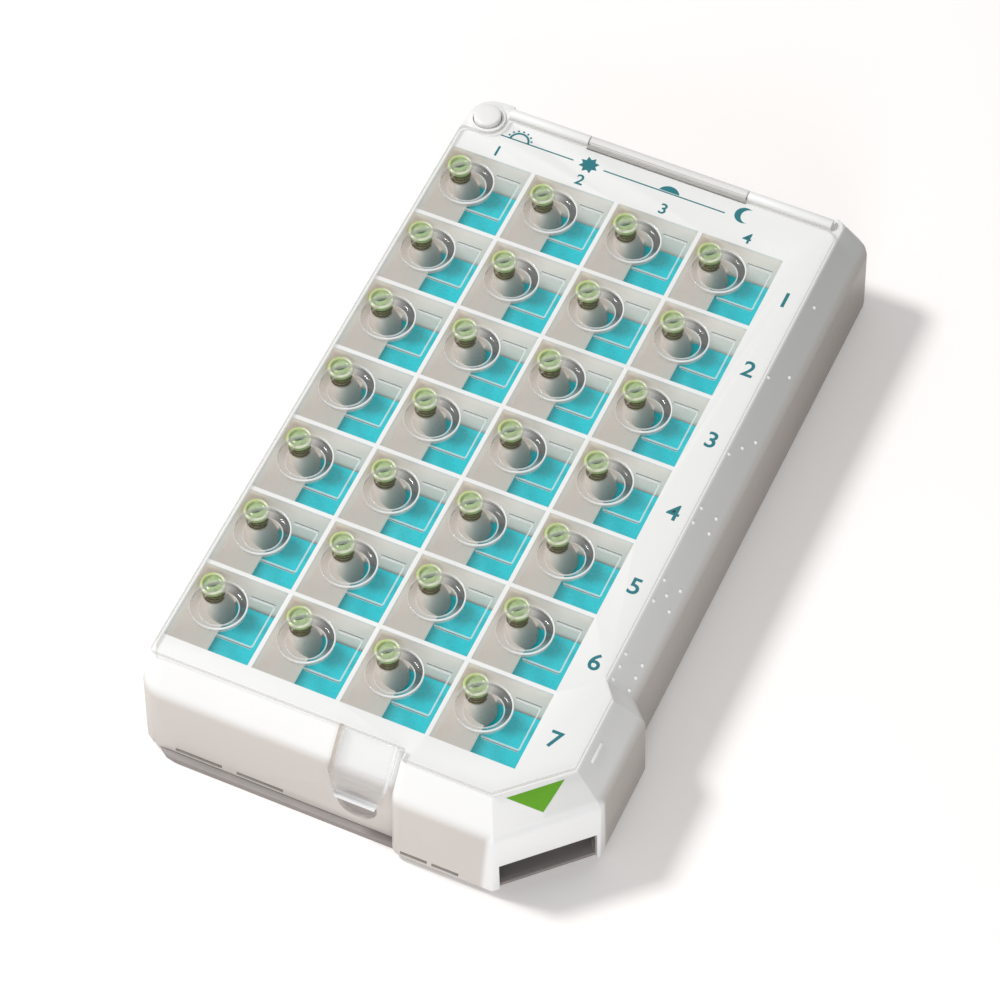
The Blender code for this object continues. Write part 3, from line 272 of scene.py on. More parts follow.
def moulded_from(node, name, material, edge, shoulder=None, shoulder_round=0.0):
    """A welded copy of a solid of the frame, its edges rounded, more so at the height of a shoulder."""
    welded = bmesh.new()
    welded.from_mesh(frame["nodes"][node].data)
    bmesh.ops.remove_doubles(welded, verts=welded.verts, dist=WELD_DISTANCE)
    bmesh.ops.dissolve_limit(
        welded, angle_limit=math.radians(FLAT_DEGREES), verts=welded.verts, edges=welded.edges,
        delimit={"NORMAL"},
    )
    if shoulder:
        broad = welded.edges.layers.float.new("bevel_weight_edge")
        for side in welded.edges:
            level = all(abs(end.co.z - shoulder) < LEVEL_WITHIN for end in side.verts)
            turned_out = math.degrees(side.calc_face_angle_signed(0.0)) > SHOULDER_DEGREES
            side[broad] = float(level and turned_out)
    mesh = bpy.data.meshes.new(name)
    welded.to_mesh(mesh)
    welded.free()
    piece = mesh_object(name, mesh, material)
    if shoulder:
        softening = piece.modifiers.new("shoulder", "BEVEL")
        softening.limit_method = "WEIGHT"
        softening.width = shoulder_round
        softening.segments = 4
        softening.use_clamp_overlap = False
    rounding = piece.modifiers.new("edges", "BEVEL")
    rounding.limit_method = "ANGLE"
    rounding.angle_limit = math.radians(EDGE_DEGREES)
    rounding.width = edge
    rounding.segments = 2
    rounding.use_clamp_overlap = True
    rounding.loop_slide = True
    return settled(piece)


def fitted(piece, body, slot, *nodes):
    """The piece rides on its body and stands for the solids that it dresses; the slot is not used."""
    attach(piece, body)
    if nodes:
        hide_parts(*nodes)
    return piece


casing = moulded_from(
    "casing", "casing_moulding", casing_white_with_painted_shade(), EDGE_ROUND, SHOULDER_HEIGHT, SHOULDER_ROUND
)
fitted(casing, "box", "white_plastic", "casing")

# Collecting tray: a shallow dark grey tray that closes the box from below. Matte moulded plastic,
# held by four clips in the front wall's slots, with a mouth at the outlet.

TRAY_GREY = (0.30, 0.27, 0.26, 1.0)
TRAY_GREY_DARK = (0.24, 0.215, 0.205, 1.0)
TRAY_CLOUDS_PER_METRE = 70.0
TRAY_ROUND = 0.25 * MM

tray_mix = Plastic("matte_tray_moulding", IOR=PLASTIC_IOR)
tray_cloud = tray_mix.noise(tray_mix.place, TRAY_CLOUDS_PER_METRE, 3.0)
tray_grey = tray_mix.feed(
    Base_Color=tray_mix.mixed(tray_cloud, TRAY_GREY, TRAY_GREY_DARK),
    Roughness=tray_mix.dulled(least=0.42, spread=0.14, per_metre=500.0),
    Normal=tray_mix.grain(per_metre=4200.0, strength=0.25, height=0.03 * MM),
)
tray = moulded_from("base_tray", "collecting_tray", tray_grey, TRAY_ROUND)
fitted(tray, "box", "tray_plastic", "base_tray")

# Compartments: four by seven, at one pitch each way from the back left wall crossing. Each has a
# guide cone moulded from its back left corner, in which the button's stem slides.

COLUMNS = 4
ROWS = 7
button_low, button_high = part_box("button_r1c1")
next_column_low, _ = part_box("button_r1c2")
next_row_low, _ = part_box("button_r2c1")
PITCH_X = next_column_low.x - button_low.x
PITCH_Y = button_low.y - next_row_low.y
CONE_RIGHT, CONE_FORWARD = 4.85 * MM, 5.45 * MM
CROSSING = Vector((
    (button_low.x + button_high.x) / 2 - CONE_RIGHT, (button_low.y + button_high.y) / 2 + CONE_FORWARD, 0
))
CONE_PLACE = Vector((CONE_RIGHT, -CONE_FORWARD, 0))
# Painted light and shade: the cone is lighter on its side toward the left wall and darker on its right side.
CONE_PAINTED_LIGHT = (0.82, 0.81, 0.77, 1.0)
CONE_PAINTED_SHADE = (0.30, 0.31, 0.30, 1.0)
# Distances from the wall on the left over which the cone's painted shade grows and its painted glow ends, in
# millimetres
CONE_SHADE_GROWS, CONE_PAINTED_GLOW_ENDS = (3.5, 9.8), (3.5, 8)
CONE_PROFILE = (
    (2.05, 19.95), (5.36, 19.95), (5.36, 20.25), (5.15, 20.9), (4.75, 22.2), (4.2, 23.9), (3.65, 25.3),
    (3.25, 26.25), (3.0, 26.7), (2.75, 26.9), (2.1, 26.92), (1.62, 26.9), (1.62, 26.4), (2.05, 26.2),
)


def turned(profile, segments=48):
    """A closed turned mesh around the Z axis from (radius, height) pairs in millimetres."""
    shape = bmesh.new()
    rings = []
    for radius, height in profile:
        if radius == 0:
            rings.append([shape.verts.new((0, 0, height * MM))])
            continue
        turns = [math.tau * step / segments for step in range(segments)]
        rings.append([
            shape.verts.new((math.cos(turn) * radius * MM, math.sin(turn) * radius * MM, height * MM))
            for turn in turns
        ])
    closed = profile[0][0] > 0 and profile[-1][0] > 0
    pairs = list(zip(rings, rings[1:])) + ([(rings[-1], rings[0])] if closed else [])
    for lower, upper in pairs:
        for step in range(segments):
            after = (step + 1) % segments
            if len(lower) == 1:
                shape.faces.new((lower[0], upper[after], upper[step]))
            elif len(upper) == 1:
                shape.faces.new((lower[step], lower[after], upper[0]))
            else:
                shape.faces.new((lower[step], lower[after], upper[after], upper[step]))
    bmesh.ops.recalc_face_normals(shape, faces=shape.faces)
    mesh = bpy.data.meshes.new("turned")
    shape.to_mesh(mesh)
    shape.free()
    return mesh


def geometry_tree(name, inputs):
    """An empty geometry tree with named inputs, its recipe, and those inputs as signals."""
    tree = bpy.data.node_groups.new(name, "GeometryNodeTree")
    tree.interface.new_socket("Geometry", in_out="INPUT", socket_type="NodeSocketGeometry")
    for label, kind in inputs:
        tree.interface.new_socket(label, in_out="INPUT", socket_type=kind)
    tree.interface.new_socket("Geometry", in_out="OUTPUT", socket_type="NodeSocketGeometry")
    recipe = Recipe(tree)
    start = recipe.add("NodeGroupInput")
    return tree, recipe, {label: start.part(label) for label, _ in [("Geometry", None), *inputs]}


def ended(recipe, geometry, material):
    """Closes a geometry tree with real instances that all have the given material."""
    real = recipe.add("GeometryNodeRealizeInstances", feeds={"Geometry": geometry})
    covered = recipe.add("GeometryNodeSetMaterial", feeds={"Geometry": real, "Material": material})
    recipe.add("NodeGroupOutput", feeds={"Geometry": covered}, give=None)


def grown(name, mesh, tree, values, material, degrees=CREASE_DEGREES):
    """A plain mesh from a geometry tree run on a starting mesh with these input values."""
    piece = mesh_object(name, mesh, None)
    growth = piece.modifiers.new("growth", "NODES")
    growth.node_group = tree
    for item in tree.interface.items_tree:
        if item.in_out == "INPUT" and item.name in values:
            growth[item.identifier] = values[item.name]
    settled(piece, degrees)
    piece.data.materials.clear()
    piece.data.materials.append(material)
    return piece


# The tree that sets one shape out in every compartment

PLACES = (
    ("Columns", "NodeSocketInt"), ("Rows", "NodeSocketInt"), ("Pitch X", "NodeSocketFloat"),
    ("Pitch Y", "NodeSocketFloat"), ("First place", "NodeSocketVector"), ("Material", "NodeSocketMaterial"),
)
set_out_tree, recipe, given = geometry_tree("set_out_in_compartments", PLACES)
span_x = (given["Columns"] - 1.0) * given["Pitch X"]
span_y = (given["Rows"] - 1.0) * given["Pitch Y"]
points = recipe.add(
    "GeometryNodeMeshGrid", {},
    {"Size X": span_x, "Size Y": span_y, "Vertices X": given["Columns"], "Vertices Y": given["Rows"]},
)
middle = recipe.add("ShaderNodeCombineXYZ", feeds={"X": span_x * 0.5, "Y": span_y * -0.5})
shift = recipe.add("ShaderNodeVectorMath", {"operation": "ADD"}, {0: middle, 1: given["First place"]})
points = recipe.add("GeometryNodeTransform", feeds={"Geometry": points, "Translation": shift})
spread = recipe.add("GeometryNodeInstanceOnPoints", feeds={"Points": points, "Instance": given["Geometry"]})
ended(recipe, spread, given["Material"])


def in_every_compartment(name, mesh, place, material, degrees=CREASE_DEGREES):
    """The shape in all compartments, at a place measured from each one's back left crossing."""
    values = {
        "Columns": COLUMNS, "Rows": ROWS, "Pitch X": PITCH_X, "Pitch Y": PITCH_Y,
        "First place": CROSSING + place, "Material": material,
    }
    return grown(name, mesh, set_out_tree, values, material, degrees)


def in_pitch(signal, start, pitch):
    """How far along one axis a point lies within its own compartment."""
    steps = (signal - start) / pitch
    return (steps - steps.worked("FLOOR", steps)) * pitch


cone_mix = Plastic("grey_white_cone_painted_shade", IOR=PLASTIC_IOR, Emission_Strength=1.0)
cone_across, _, _ = cone_mix.coordinates()
cone_side = in_pitch(cone_across, CROSSING.x, PITCH_X)
cone_grey = cone_mix.feed(
    Base_Color=cone_mix.mixed(cone_side.rising(CONE_SHADE_GROWS), CONE_PAINTED_LIGHT, CONE_PAINTED_SHADE),
    Emission_Color=cone_mix.mixed(cone_side.rising(CONE_PAINTED_GLOW_ENDS), COMPARTMENT_PAINTED_GLOW, BLACK),
    Roughness=cone_mix.dulled(least=0.24, spread=0.1, per_metre=600.0),
    Normal=cone_mix.grain(GRAIN_PER_METRE, strength=0.15, height=GRAIN_HEIGHT),
)
cones = in_every_compartment("guide_cones", turned(CONE_PROFILE), CONE_PLACE, cone_grey, 50.0)
fitted(cones, "box", "white_plastic")

# Floor flaps: one teal plate under each compartment, hung on two pins at its back wall. Glossy
# moulded plastic, held up by the button's spring and tipped down when the button is pressed.

TEAL = (0.0, 0.47, 0.56, 1.0)
TEAL_LIGHT = (0.0, 0.55, 0.62, 1.0)
# A weak painted glow, though no lamp is inside the flap.
TEAL_PAINTED_GLOW = (0.0, 0.045, 0.052, 1.0)
TEAL_CLOUDS_PER_METRE = 60.0
FLAP_ROUND = 0.15 * MM

teal_mix = Plastic("teal_flap_moulding", IOR=PLASTIC_IOR, Emission_Strength=1.0, Emission_Color=TEAL_PAINTED_GLOW)
teal_cloud = teal_mix.noise(teal_mix.place, TEAL_CLOUDS_PER_METRE, 3.0)
teal = teal_mix.feed(
    Base_Color=teal_mix.mixed(teal_cloud, TEAL, TEAL_LIGHT),
    Roughness=teal_mix.dulled(least=0.22, spread=0.12, per_metre=700.0),
    Normal=teal_mix.grain(per_metre=4600.0, strength=0.15, height=GRAIN_HEIGHT),
)
CELLS = [(row, column) for row in range(1, ROWS + 1) for column in range(1, COLUMNS + 1)]
for row, column in CELLS:
    place = f"r{row}c{column}"
    flap = moulded_from(f"flap_{place}", f"floor_flap_{place}", teal, FLAP_ROUND)
    fitted(flap, f"flap_{place}", "teal_plastic", f"flap_{place}")

# Push buttons: a dished cap of translucent yellow-green plastic on a slim stem, one per
# compartment. The stem runs through the guide cone and its stop collar keeps it from coming out.

BUTTON_PROFILE = (
    (0, 20.02), (0.55, 20.05), (1.25, 21.2), (1.29, 24.9), (2.0, 24.92), (2.04, 25.1), (2.0, 25.28),
    (1.29, 25.3), (1.29, 30.4), (1.7, 30.92), (3.2, 30.92), (3.42, 31.05), (3.49, 31.4), (3.49, 31.95),
    (3.4, 32.3), (3.12, 32.48), (2.8, 32.44), (2.62, 32.25), (2.5, 31.9), (2.25, 31.72), (1.9, 31.7),
    (1.62, 31.85), (1.3, 31.9), (0.8, 31.72), (0, 31.6),
)
STEM_GREEN, STEM_GREEN_DARK = (0.46, 0.56, 0.24, 1.0), (0.30, 0.40, 0.14, 1.0)
DISH_GREEN, DISH_GREEN_DARK = (0.56, 0.68, 0.38, 1.0), (0.20, 0.33, 0.13, 1.0)
# Painted highlight: a pale ring on the cap's rim and a pale crescent on its left and back side, where light
# falls. Painted shade: a dark slit in the middle of its dish.
RIM_PAINTED_HIGHLIGHT = (0.80, 0.84, 0.62, 1.0)
CRESCENT_PAINTED_HIGHLIGHT = (0.60, 0.74, 0.26, 1.0)
SLIT_PAINTED_SHADE = (0.035, 0.10, 0.045, 1.0)
# Radii from the cap's middle, and heights, over which its parts begin or end, in millimetres
DISH_ENDS, RIM_BEGINS, CRESCENT_BEGINS = (2.1, 2.8), (2.5, 2.9), (2.3, 2.9)
RIM_HEIGHTS = (31.9, 32.3)
LIT_LEFT, LIT_BACK, CRESCENT_TURN = 0.94, 0.34, (0.2, 0.8)
SLIT_COS, SLIT_SIN, SLIT_EDGE = 0.77, 0.64, (0.6, 1.15)
SLIT_WIDE, SLIT_LONG = 0.6 * MM, 1.9 * MM
MOTTLE_PER_METRE = 900.0
DISH_SHARE = 0.8
CAP_ALPHA, DISH_ALPHA = 0.86, 0.12

green_mix = Plastic("translucent_green_button", IOR=1.5)
across, along, height = green_mix.coordinates()
beside = in_pitch(across, CROSSING.x, PITCH_X) - CONE_RIGHT
behind = in_pitch(along, CROSSING.y, PITCH_Y) - (PITCH_Y - CONE_FORWARD)
radius = length_of(beside, behind)
dish = radius.falling(DISH_ENDS)
rim = radius.rising(RIM_BEGINS) * height.rising(RIM_HEIGHTS)
crescent = ((behind * LIT_BACK - beside * LIT_LEFT) / radius).between(*CRESCENT_TURN)
crescent = crescent * radius.rising(CRESCENT_BEGINS)
over_slit = (behind * SLIT_COS - beside * SLIT_SIN) / SLIT_WIDE
down_slit = (beside * SLIT_COS + behind * SLIT_SIN) / SLIT_LONG
slit = 1.0 - length_of(over_slit, down_slit).between(*SLIT_EDGE)
mottle = green_mix.noise(green_mix.place, MOTTLE_PER_METRE, 3.0)
green = green_mix.mixed(mottle, STEM_GREEN, STEM_GREEN_DARK)
green = green_mix.mixed(rim, green, RIM_PAINTED_HIGHLIGHT)
green = green_mix.mixed(crescent, green, CRESCENT_PAINTED_HIGHLIGHT)
green = green_mix.mixed(dish * DISH_SHARE, green, green_mix.mixed(mottle, DISH_GREEN, DISH_GREEN_DARK))
green = green_mix.mixed(slit, green, SLIT_PAINTED_SHADE)
green_button = green_mix.feed(
    Base_Color=green,
    Alpha=CAP_ALPHA + dish * DISH_ALPHA,
    Roughness=green_mix.dulled(least=0.14, spread=0.12, per_metre=1200.0),
    Normal=green_mix.grain(per_metre=3000.0, strength=0.2, height=0.03 * MM),
)

moved_tree, recipe, given = geometry_tree(
    "moved_to_its_place", (("Place", "NodeSocketVector"), ("Material", "NodeSocketMaterial"))
)
moved = recipe.add(
    "GeometryNodeTransform", feeds={"Geometry": given["Geometry"], "Translation": given["Place"]}
)
ended(recipe, moved, given["Material"])


def cap_place(row, column, height=0.0):
    """The middle of one button, at a height."""
    return CROSSING + CONE_PLACE + Vector(((column - 1) * PITCH_X, (1 - row) * PITCH_Y, height))


button_shape = turned(BUTTON_PROFILE, 40)
for row, column in CELLS:
    place = cap_place(row, column)
    name = f"r{row}c{column}"
    values = {"Place": place, "Material": green_button}
    button = grown(f"push_button_{name}", button_shape.copy(), moved_tree, values, green_button, 50.0)
    fitted(button, f"button_{name}", "green_plastic", f"button_{name}")

# Springs: an olive brown steel coil between the top of each guide cone and the button's cap. The real coil is
# compressed as the button goes down; here it rides on the box at its full length.

SPRING_FOOT = 26.95 * MM
SPRING_HEIGHT = 3.65 * MM
SPRING_RADIUS = 2.75 * MM
SPRING_WIRE = 0.25 * MM
SPRING_TURNS = 2.9
STEEL_DARK, STEEL_LIGHT = (0.075, 0.06, 0.035, 1.0), (0.36, 0.31, 0.19, 1.0)
STEEL_DULL, STEEL_SPREAD, STEEL_PER_METRE = 0.32, 0.2, 2600.0

steel_mix = Plastic("olive_spring_steel", Metallic=0.55)
steel_tint = steel_mix.noise(steel_mix.place, STEEL_PER_METRE, 3.0)
steel = steel_mix.feed(
    Base_Color=steel_mix.mixed(steel_tint, STEEL_DARK, STEEL_LIGHT),
    Roughness=STEEL_DULL + steel_tint * STEEL_SPREAD,
)
COIL_INPUTS = (
    ("Place", "NodeSocketVector"), ("Radius", "NodeSocketFloat"), ("Wire", "NodeSocketFloat"),
    ("Height", "NodeSocketFloat"), ("Turns", "NodeSocketFloat"), ("Material", "NodeSocketMaterial"),
)
coil_tree, recipe, given = geometry_tree("compression_coil", COIL_INPUTS)
coil = recipe.add(
    "GeometryNodeCurveSpiral", {},
    {
        "Resolution": 14, "Rotations": given["Turns"], "Start Radius": given["Radius"],
        "End Radius": given["Radius"], "Height": given["Height"],
    },
)
wire = recipe.add("GeometryNodeCurvePrimitiveCircle", {}, {"Resolution": 8, "Radius": given["Wire"]})
tube = recipe.add("GeometryNodeCurveToMesh", feeds={"Curve": coil, "Profile Curve": wire, "Fill Caps": True})
tube = recipe.add("GeometryNodeTransform", feeds={"Geometry": tube, "Translation": given["Place"]})
ended(recipe, tube, given["Material"])
for row, column in CELLS:
    place = cap_place(row, column, SPRING_FOOT + SPRING_WIRE)
    values = {
        "Place": place, "Radius": SPRING_RADIUS, "Wire": SPRING_WIRE,
        "Height": SPRING_HEIGHT - 2 * SPRING_WIRE, "Turns": SPRING_TURNS, "Material": steel,
    }
    spring = grown(f"spring_r{row}c{column}", bpy.data.meshes.new("coil"), coil_tree, values, steel, 60.0)
    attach(spring, "box")
    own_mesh(spring)

# Corner button: a short round white button in the collar at the back left corner, turned from
# gloss plastic, with a flat top and a soft edge.

collar_low, collar_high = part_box("corner_button")
corner_place = Vector(((collar_low.x + collar_high.x) / 2, (collar_low.y + collar_high.y) / 2, 0))
CORNER_PROFILE = (
    (0, 25.47), (2.5, 25.5), (2.58, 25.7), (2.5, 26.5), (1.6, 26.56), (1.6, 30.3), (3.7, 30.32), (3.84, 30.5),
    (3.84, 34.5), (3.78, 34.8), (3.6, 35.02), (3.2, 35.14), (1.8, 35.26), (0, 35.3),
)
CORNER_WHITE = (0.84, 0.83, 0.82, 1.0)
CLOUD_SHADE = 0.97


def satin_white(name, tone):
    """The casing's satin plastic in one tone, for small parts."""
    mix = Plastic(name, IOR=PLASTIC_IOR)
    dull = mix.dulled(SATIN, SATIN_SPREAD, SATIN_PER_METRE)
    shade = tuple(channel * CLOUD_SHADE for channel in tone[:3]) + (1.0,)
    colour = mix.mixed(mix.noise(mix.place, CLOUDS_PER_METRE, 3.0), tone, shade)
    grain = mix.grain(GRAIN_PER_METRE, GRAIN_STRENGTH, GRAIN_HEIGHT)
    return mix.feed(Base_Color=colour, Roughness=dull, Normal=grain)


corner_white = satin_white("gloss_white_button", CORNER_WHITE)
corner = grown(
    "corner_push_button", turned(CORNER_PROFILE, 56), moved_tree,
    {"Place": corner_place, "Material": corner_white}, corner_white, 40.0,
)
fitted(corner, "corner_button", "white_button_plastic", "corner_button")

# Lid: a clear polished sheet over the whole box, moulded with a rimmed finger well over each
# compartment, thin ribs, a latch tongue at the front and a hinge barrel at the back.

LID_OUTLINE = (
    (-59.7, -96.0, 1.2), (12.1, -96.0, 0.4), (12.1, -98.9, 0.6), (37.0, -98.9, 1.0), (53.1, -83.7, 0.8),
    (53.1, -60.9, 0.8), (49.2, -56.1, 0.5), (49.2, 100.0, 3.5), (-48.6, 100.0, 0.5), (-48.6, 92.6, 5.2),
    (-59.7, 92.6, 1.5),
)
LID_LOW, LID_HIGH = 33.3, 34.9
WELL_PLACE = Vector((10.0 * MM, -12.2 * MM, 0))
WELL_RADIUS = 7.3
PUNCH_LOW, PUNCH_HIGH = 32.0, 36.0
LID_ROUND = 0.22 * MM
LID_EDGE_DEGREES, LID_CREASE_DEGREES = 50, 12.0
# Painted shade: a grey line on the lid's upright edges. Painted highlight: the white that other clear parts
# take on their edges and bright sides.
CLEAR_TINT, CLEAR_EDGE_PAINTED_SHADE = (0.88, 0.90, 0.90, 1.0), (0.58, 0.56, 0.53, 1.0)
CLEAR_PAINTED_HIGHLIGHT = (0.93, 0.94, 0.94, 1.0)
LEAN_BAND = (0.25, 0.97)
HAZE_PER_METRE, HAZE_ALPHA = 130.0, 0.012
CLEAR_DULL, CLEAR_SPREAD = 0.04, 0.05


def clear_plastic(name, tint, see_through, edgeways, edge=CLEAR_PAINTED_HIGHLIGHT):
    """Clear plastic: nearly invisible face on, with a painted line in the edge's tone wherever a wall stands
    up.
    """
    mix = Plastic(name, IOR=PLASTIC_IOR)
    normal = mix.add("ShaderNodeTexCoord", give="Normal")
    lean = mix.add("ShaderNodeSeparateXYZ", feeds={"Vector": normal}, give="Z")
    side = 1.0 - lean.worked("ABSOLUTE", lean).between(*LEAN_BAND)
    haze = mix.noise(mix.place, HAZE_PER_METRE, 2.0)
    return mix.feed(
        Base_Color=mix.mixed(side, tint, edge),
        Alpha=see_through + side * edgeways + haze * HAZE_ALPHA,
        Roughness=CLEAR_DULL + haze * CLEAR_SPREAD,
    )


clear = clear_plastic("clear_lid_plastic", CLEAR_TINT, see_through=0.015, edgeways=0.5, edge=CLEAR_EDGE_PAINTED_SHADE)


def rounded_corners(corners, steps=9):
    """Points in metres of an outline in millimetres, with an arc at each corner that has a radius."""
    points = []
    for index, (x, y, radius) in enumerate(corners):
        if not radius:
            points.append((x * MM, y * MM))
            continue
        here = Vector((x, y))
        to_last = (Vector(corners[index - 1][:2]) - here).normalized()
        to_next = (Vector(corners[(index + 1) % len(corners)][:2]) - here).normalized()
        half = to_last.angle(to_next) / 2
        centre = here + (to_last + to_next).normalized() * radius / math.sin(half)
        first = here + to_last * radius / math.tan(half) - centre
        sweep = first.angle_signed(here + to_next * radius / math.tan(half) - centre)
        for step in range(steps):
            spot = centre + Matrix.Rotation(-sweep * step / (steps - 1), 2) @ first
            points.append((spot.x * MM, spot.y * MM))
    return points


def sheet_of(points, low, high):
    """A closed sheet over an outline, between two heights in millimetres."""
    shape = bmesh.new()
    base = shape.faces.new([shape.verts.new((x, y, low * MM)) for x, y in points])
    grown_up = bmesh.ops.extrude_face_region(shape, geom=[base])["geom"]
    top = [item for item in grown_up if isinstance(item, bmesh.types.BMVert)]
    bmesh.ops.translate(shape, verts=top, vec=(0, 0, (high - low) * MM))
    bmesh.ops.recalc_face_normals(shape, faces=shape.faces)
    mesh = bpy.data.meshes.new("sheet")
    shape.to_mesh(mesh)
    shape.free()
    return mesh


PUNCH_PROFILE = ((0, PUNCH_LOW), (WELL_RADIUS, PUNCH_LOW), (WELL_RADIUS, PUNCH_HIGH), (0, PUNCH_HIGH))
punch = in_every_compartment("well_punch", turned(PUNCH_PROFILE), WELL_PLACE, clear)
lid_mesh = sheet_of(rounded_corners(LID_OUTLINE), LID_LOW, LID_HIGH)
lid_sheet = mesh_object("clear_lid_sheet", lid_mesh, clear)
softening = lid_sheet.modifiers.new("edges", "BEVEL")
softening.limit_method = "ANGLE"
softening.angle_limit = math.radians(LID_EDGE_DEGREES)
softening.width = LID_ROUND
softening.segments = 2
punching = lid_sheet.modifiers.new("finger wells", "BOOLEAN")
punching.object = punch
punching.solver = "EXACT"
settled(lid_sheet, LID_CREASE_DEGREES)
lid_sheet.data.materials.clear()
lid_sheet.data.materials.append(clear)
bpy.data.objects.remove(punch)
fitted(lid_sheet, "lid", "clear_plastic", "lid")

# Finger wells: a raised rim, a shallow dish and an inner lip round each opening of the lid, moulded with the
# sheet. Round each well a painted highlight makes the rim and lip whiter and denser on one side, and painted
# shade darkens the dish on another.

RIM_PROFILE = (
    (7.3, 34.88), (7.66, 34.88), (7.7, 35.1), (7.6, 35.32), (7.45, 35.4), (7.3, 35.32), (7.2, 35.1),
    (7.2, 34.5),
)
DISH_PROFILE = (
    (7.22, 34.45), (7.1, 34.0), (6.8, 33.6), (6.3, 33.35), (5.4, 33.26), (5.4, 33.06), (6.4, 33.08),
    (7.0, 33.3), (7.3, 33.7), (7.3, 34.45),
)
LIP_PROFILE = (
    (5.4, 33.02), (5.4, 33.34), (5.26, 33.42), (5.08, 33.36), (5.02, 33.2), (5.08, 33.04), (5.26, 32.98),
)
DISH_LIGHT, DISH_PAINTED_SHADE = (0.75, 0.77, 0.76, 1.0), (0.10, 0.10, 0.10, 1.0)
TURN_END = 0.95
STREAKS_PER_METRE, STREAK_ALPHA = 300.0, 0.05


def well_plastic(name, bright, dark, clearest, densest, start, toward_x, toward_y):
    """Clear plastic with a painted highlight or painted shade round each well's middle, passing from bright
    and clear to the painted tone and denser towards one side.
    """
    mix = Plastic(name, IOR=PLASTIC_IOR, Roughness=0.08)
    across, along, _ = mix.coordinates()
    beside = in_pitch(across, CROSSING.x, PITCH_X) - WELL_PLACE.x
    behind = in_pitch(along, CROSSING.y, PITCH_Y) - (PITCH_Y + WELL_PLACE.y)
    toward_painted_side = (beside * toward_x + behind * toward_y) / length_of(beside, behind)
    share = toward_painted_side.between(start, TURN_END)
    streaks = mix.noise(mix.place, STREAKS_PER_METRE) * STREAK_ALPHA
    return mix.feed(
        Base_Color=mix.mixed(share, bright, dark),
        Alpha=clearest + share * (densest - clearest) + streaks,
    )


painted_rim_highlight = well_plastic(
    "clear_well_rim_painted_highlight", CLEAR_PAINTED_HIGHLIGHT, CLEAR_PAINTED_HIGHLIGHT,
    clearest=0.05, densest=0.85, start=-0.45, toward_x=0.94, toward_y=-0.34,
)
painted_dish_shade = well_plastic(
    "clear_well_dish_painted_shade", DISH_LIGHT, DISH_PAINTED_SHADE,
    clearest=0.02, densest=0.55, start=0.1, toward_x=0.80, toward_y=0.60,
)
painted_lip_highlight = well_plastic(
    "clear_well_lip_painted_highlight", CLEAR_PAINTED_HIGHLIGHT, CLEAR_PAINTED_HIGHLIGHT,
    clearest=0.08, densest=0.42, start=-0.3, toward_x=0.94, toward_y=-0.34,
)
WELL_PARTS = (
    ("well_rims", RIM_PROFILE, painted_rim_highlight), ("well_dishes", DISH_PROFILE, painted_dish_shade),
    ("well_lips", LIP_PROFILE, painted_lip_highlight),
)
for name, profile, material in WELL_PARTS:
    rings = in_every_compartment(name, turned(profile, 64), WELL_PLACE, material, 60.0)
    fitted(rings, "lid", "clear_plastic")

# Ribs: thin strips under the clear sheet, moulded with it, from each finger well round the open part of its
# compartment, with a whitish tone that is painted highlight. Beside them, at the back and the front, thin
# dark strips are painted shadow.

RIB_PATH = ((15.6, -6.0), (22.5, -6.0), (22.9, -6.4), (22.9, -19.0), (22.5, -19.4), (12.6, -19.4))
BACK_SHADOW_PATH = ((15.9, -5.5), (23.0, -5.5))
FRONT_SHADOW_PATH = ((13.2, -19.9), (22.9, -19.9))
RIB_WIDE, RIB_LOW, STRIP_TOP = 0.36, 32.9, 33.32
SHADOW_STRIP_WIDE, SHADOW_STRIP_LOW = 0.24, 33.1
STRIP_CREASE = 30.0
RIB_PAINTED_HIGHLIGHT, RIB_PAINTED_SHADOW = (0.92, 0.95, 0.96, 1.0), (0.16, 0.14, 0.13, 1.0)


def ribbon(path, width, low, high):
    """A closed upright strip of one width along a path of points in millimetres."""
    spots = [Vector(spot) for spot in path]
    sides = ([], [])
    for index, spot in enumerate(spots):
        ahead = spots[min(index + 1, len(spots) - 1)] - spots[max(index - 1, 0)]
        out = Vector((-ahead.y, ahead.x)).normalized() * width / 2
        sides[0].append(spot + out)
        sides[1].append(spot - out)
    outline = [(spot.x * MM, spot.y * MM) for spot in sides[0] + sides[1][::-1]]
    return sheet_of(outline, low, high)


painted_rib_highlight = clear_plastic("clear_rib_painted_highlight", RIB_PAINTED_HIGHLIGHT, see_through=0.32, edgeways=0.15)
painted_rib_shadow = clear_plastic("dark_painted_shadow_strip", RIB_PAINTED_SHADOW, see_through=0.62, edgeways=0.1)
no_shift = Vector((0, 0, 0))
STRIPS = (
    ("lid_ribs", RIB_PATH, RIB_WIDE, RIB_LOW, painted_rib_highlight),
    ("back_rib_shadow_strips", BACK_SHADOW_PATH, SHADOW_STRIP_WIDE, SHADOW_STRIP_LOW, painted_rib_shadow),
    ("front_rib_shadow_strips", FRONT_SHADOW_PATH, SHADOW_STRIP_WIDE, SHADOW_STRIP_LOW, painted_rib_shadow),
)
for name, path, width, bottom, material in STRIPS:
    strip = ribbon(path, width, bottom, STRIP_TOP)
    strips = in_every_compartment(name, strip, no_shift, material, STRIP_CREASE)
    fitted(strips, "lid", "clear_plastic")

# Latch tongue: it runs down over the bevel and the front wall from the lid's edge, and narrows
# towards its tip, which a finger lifts from the scoop in the wall.

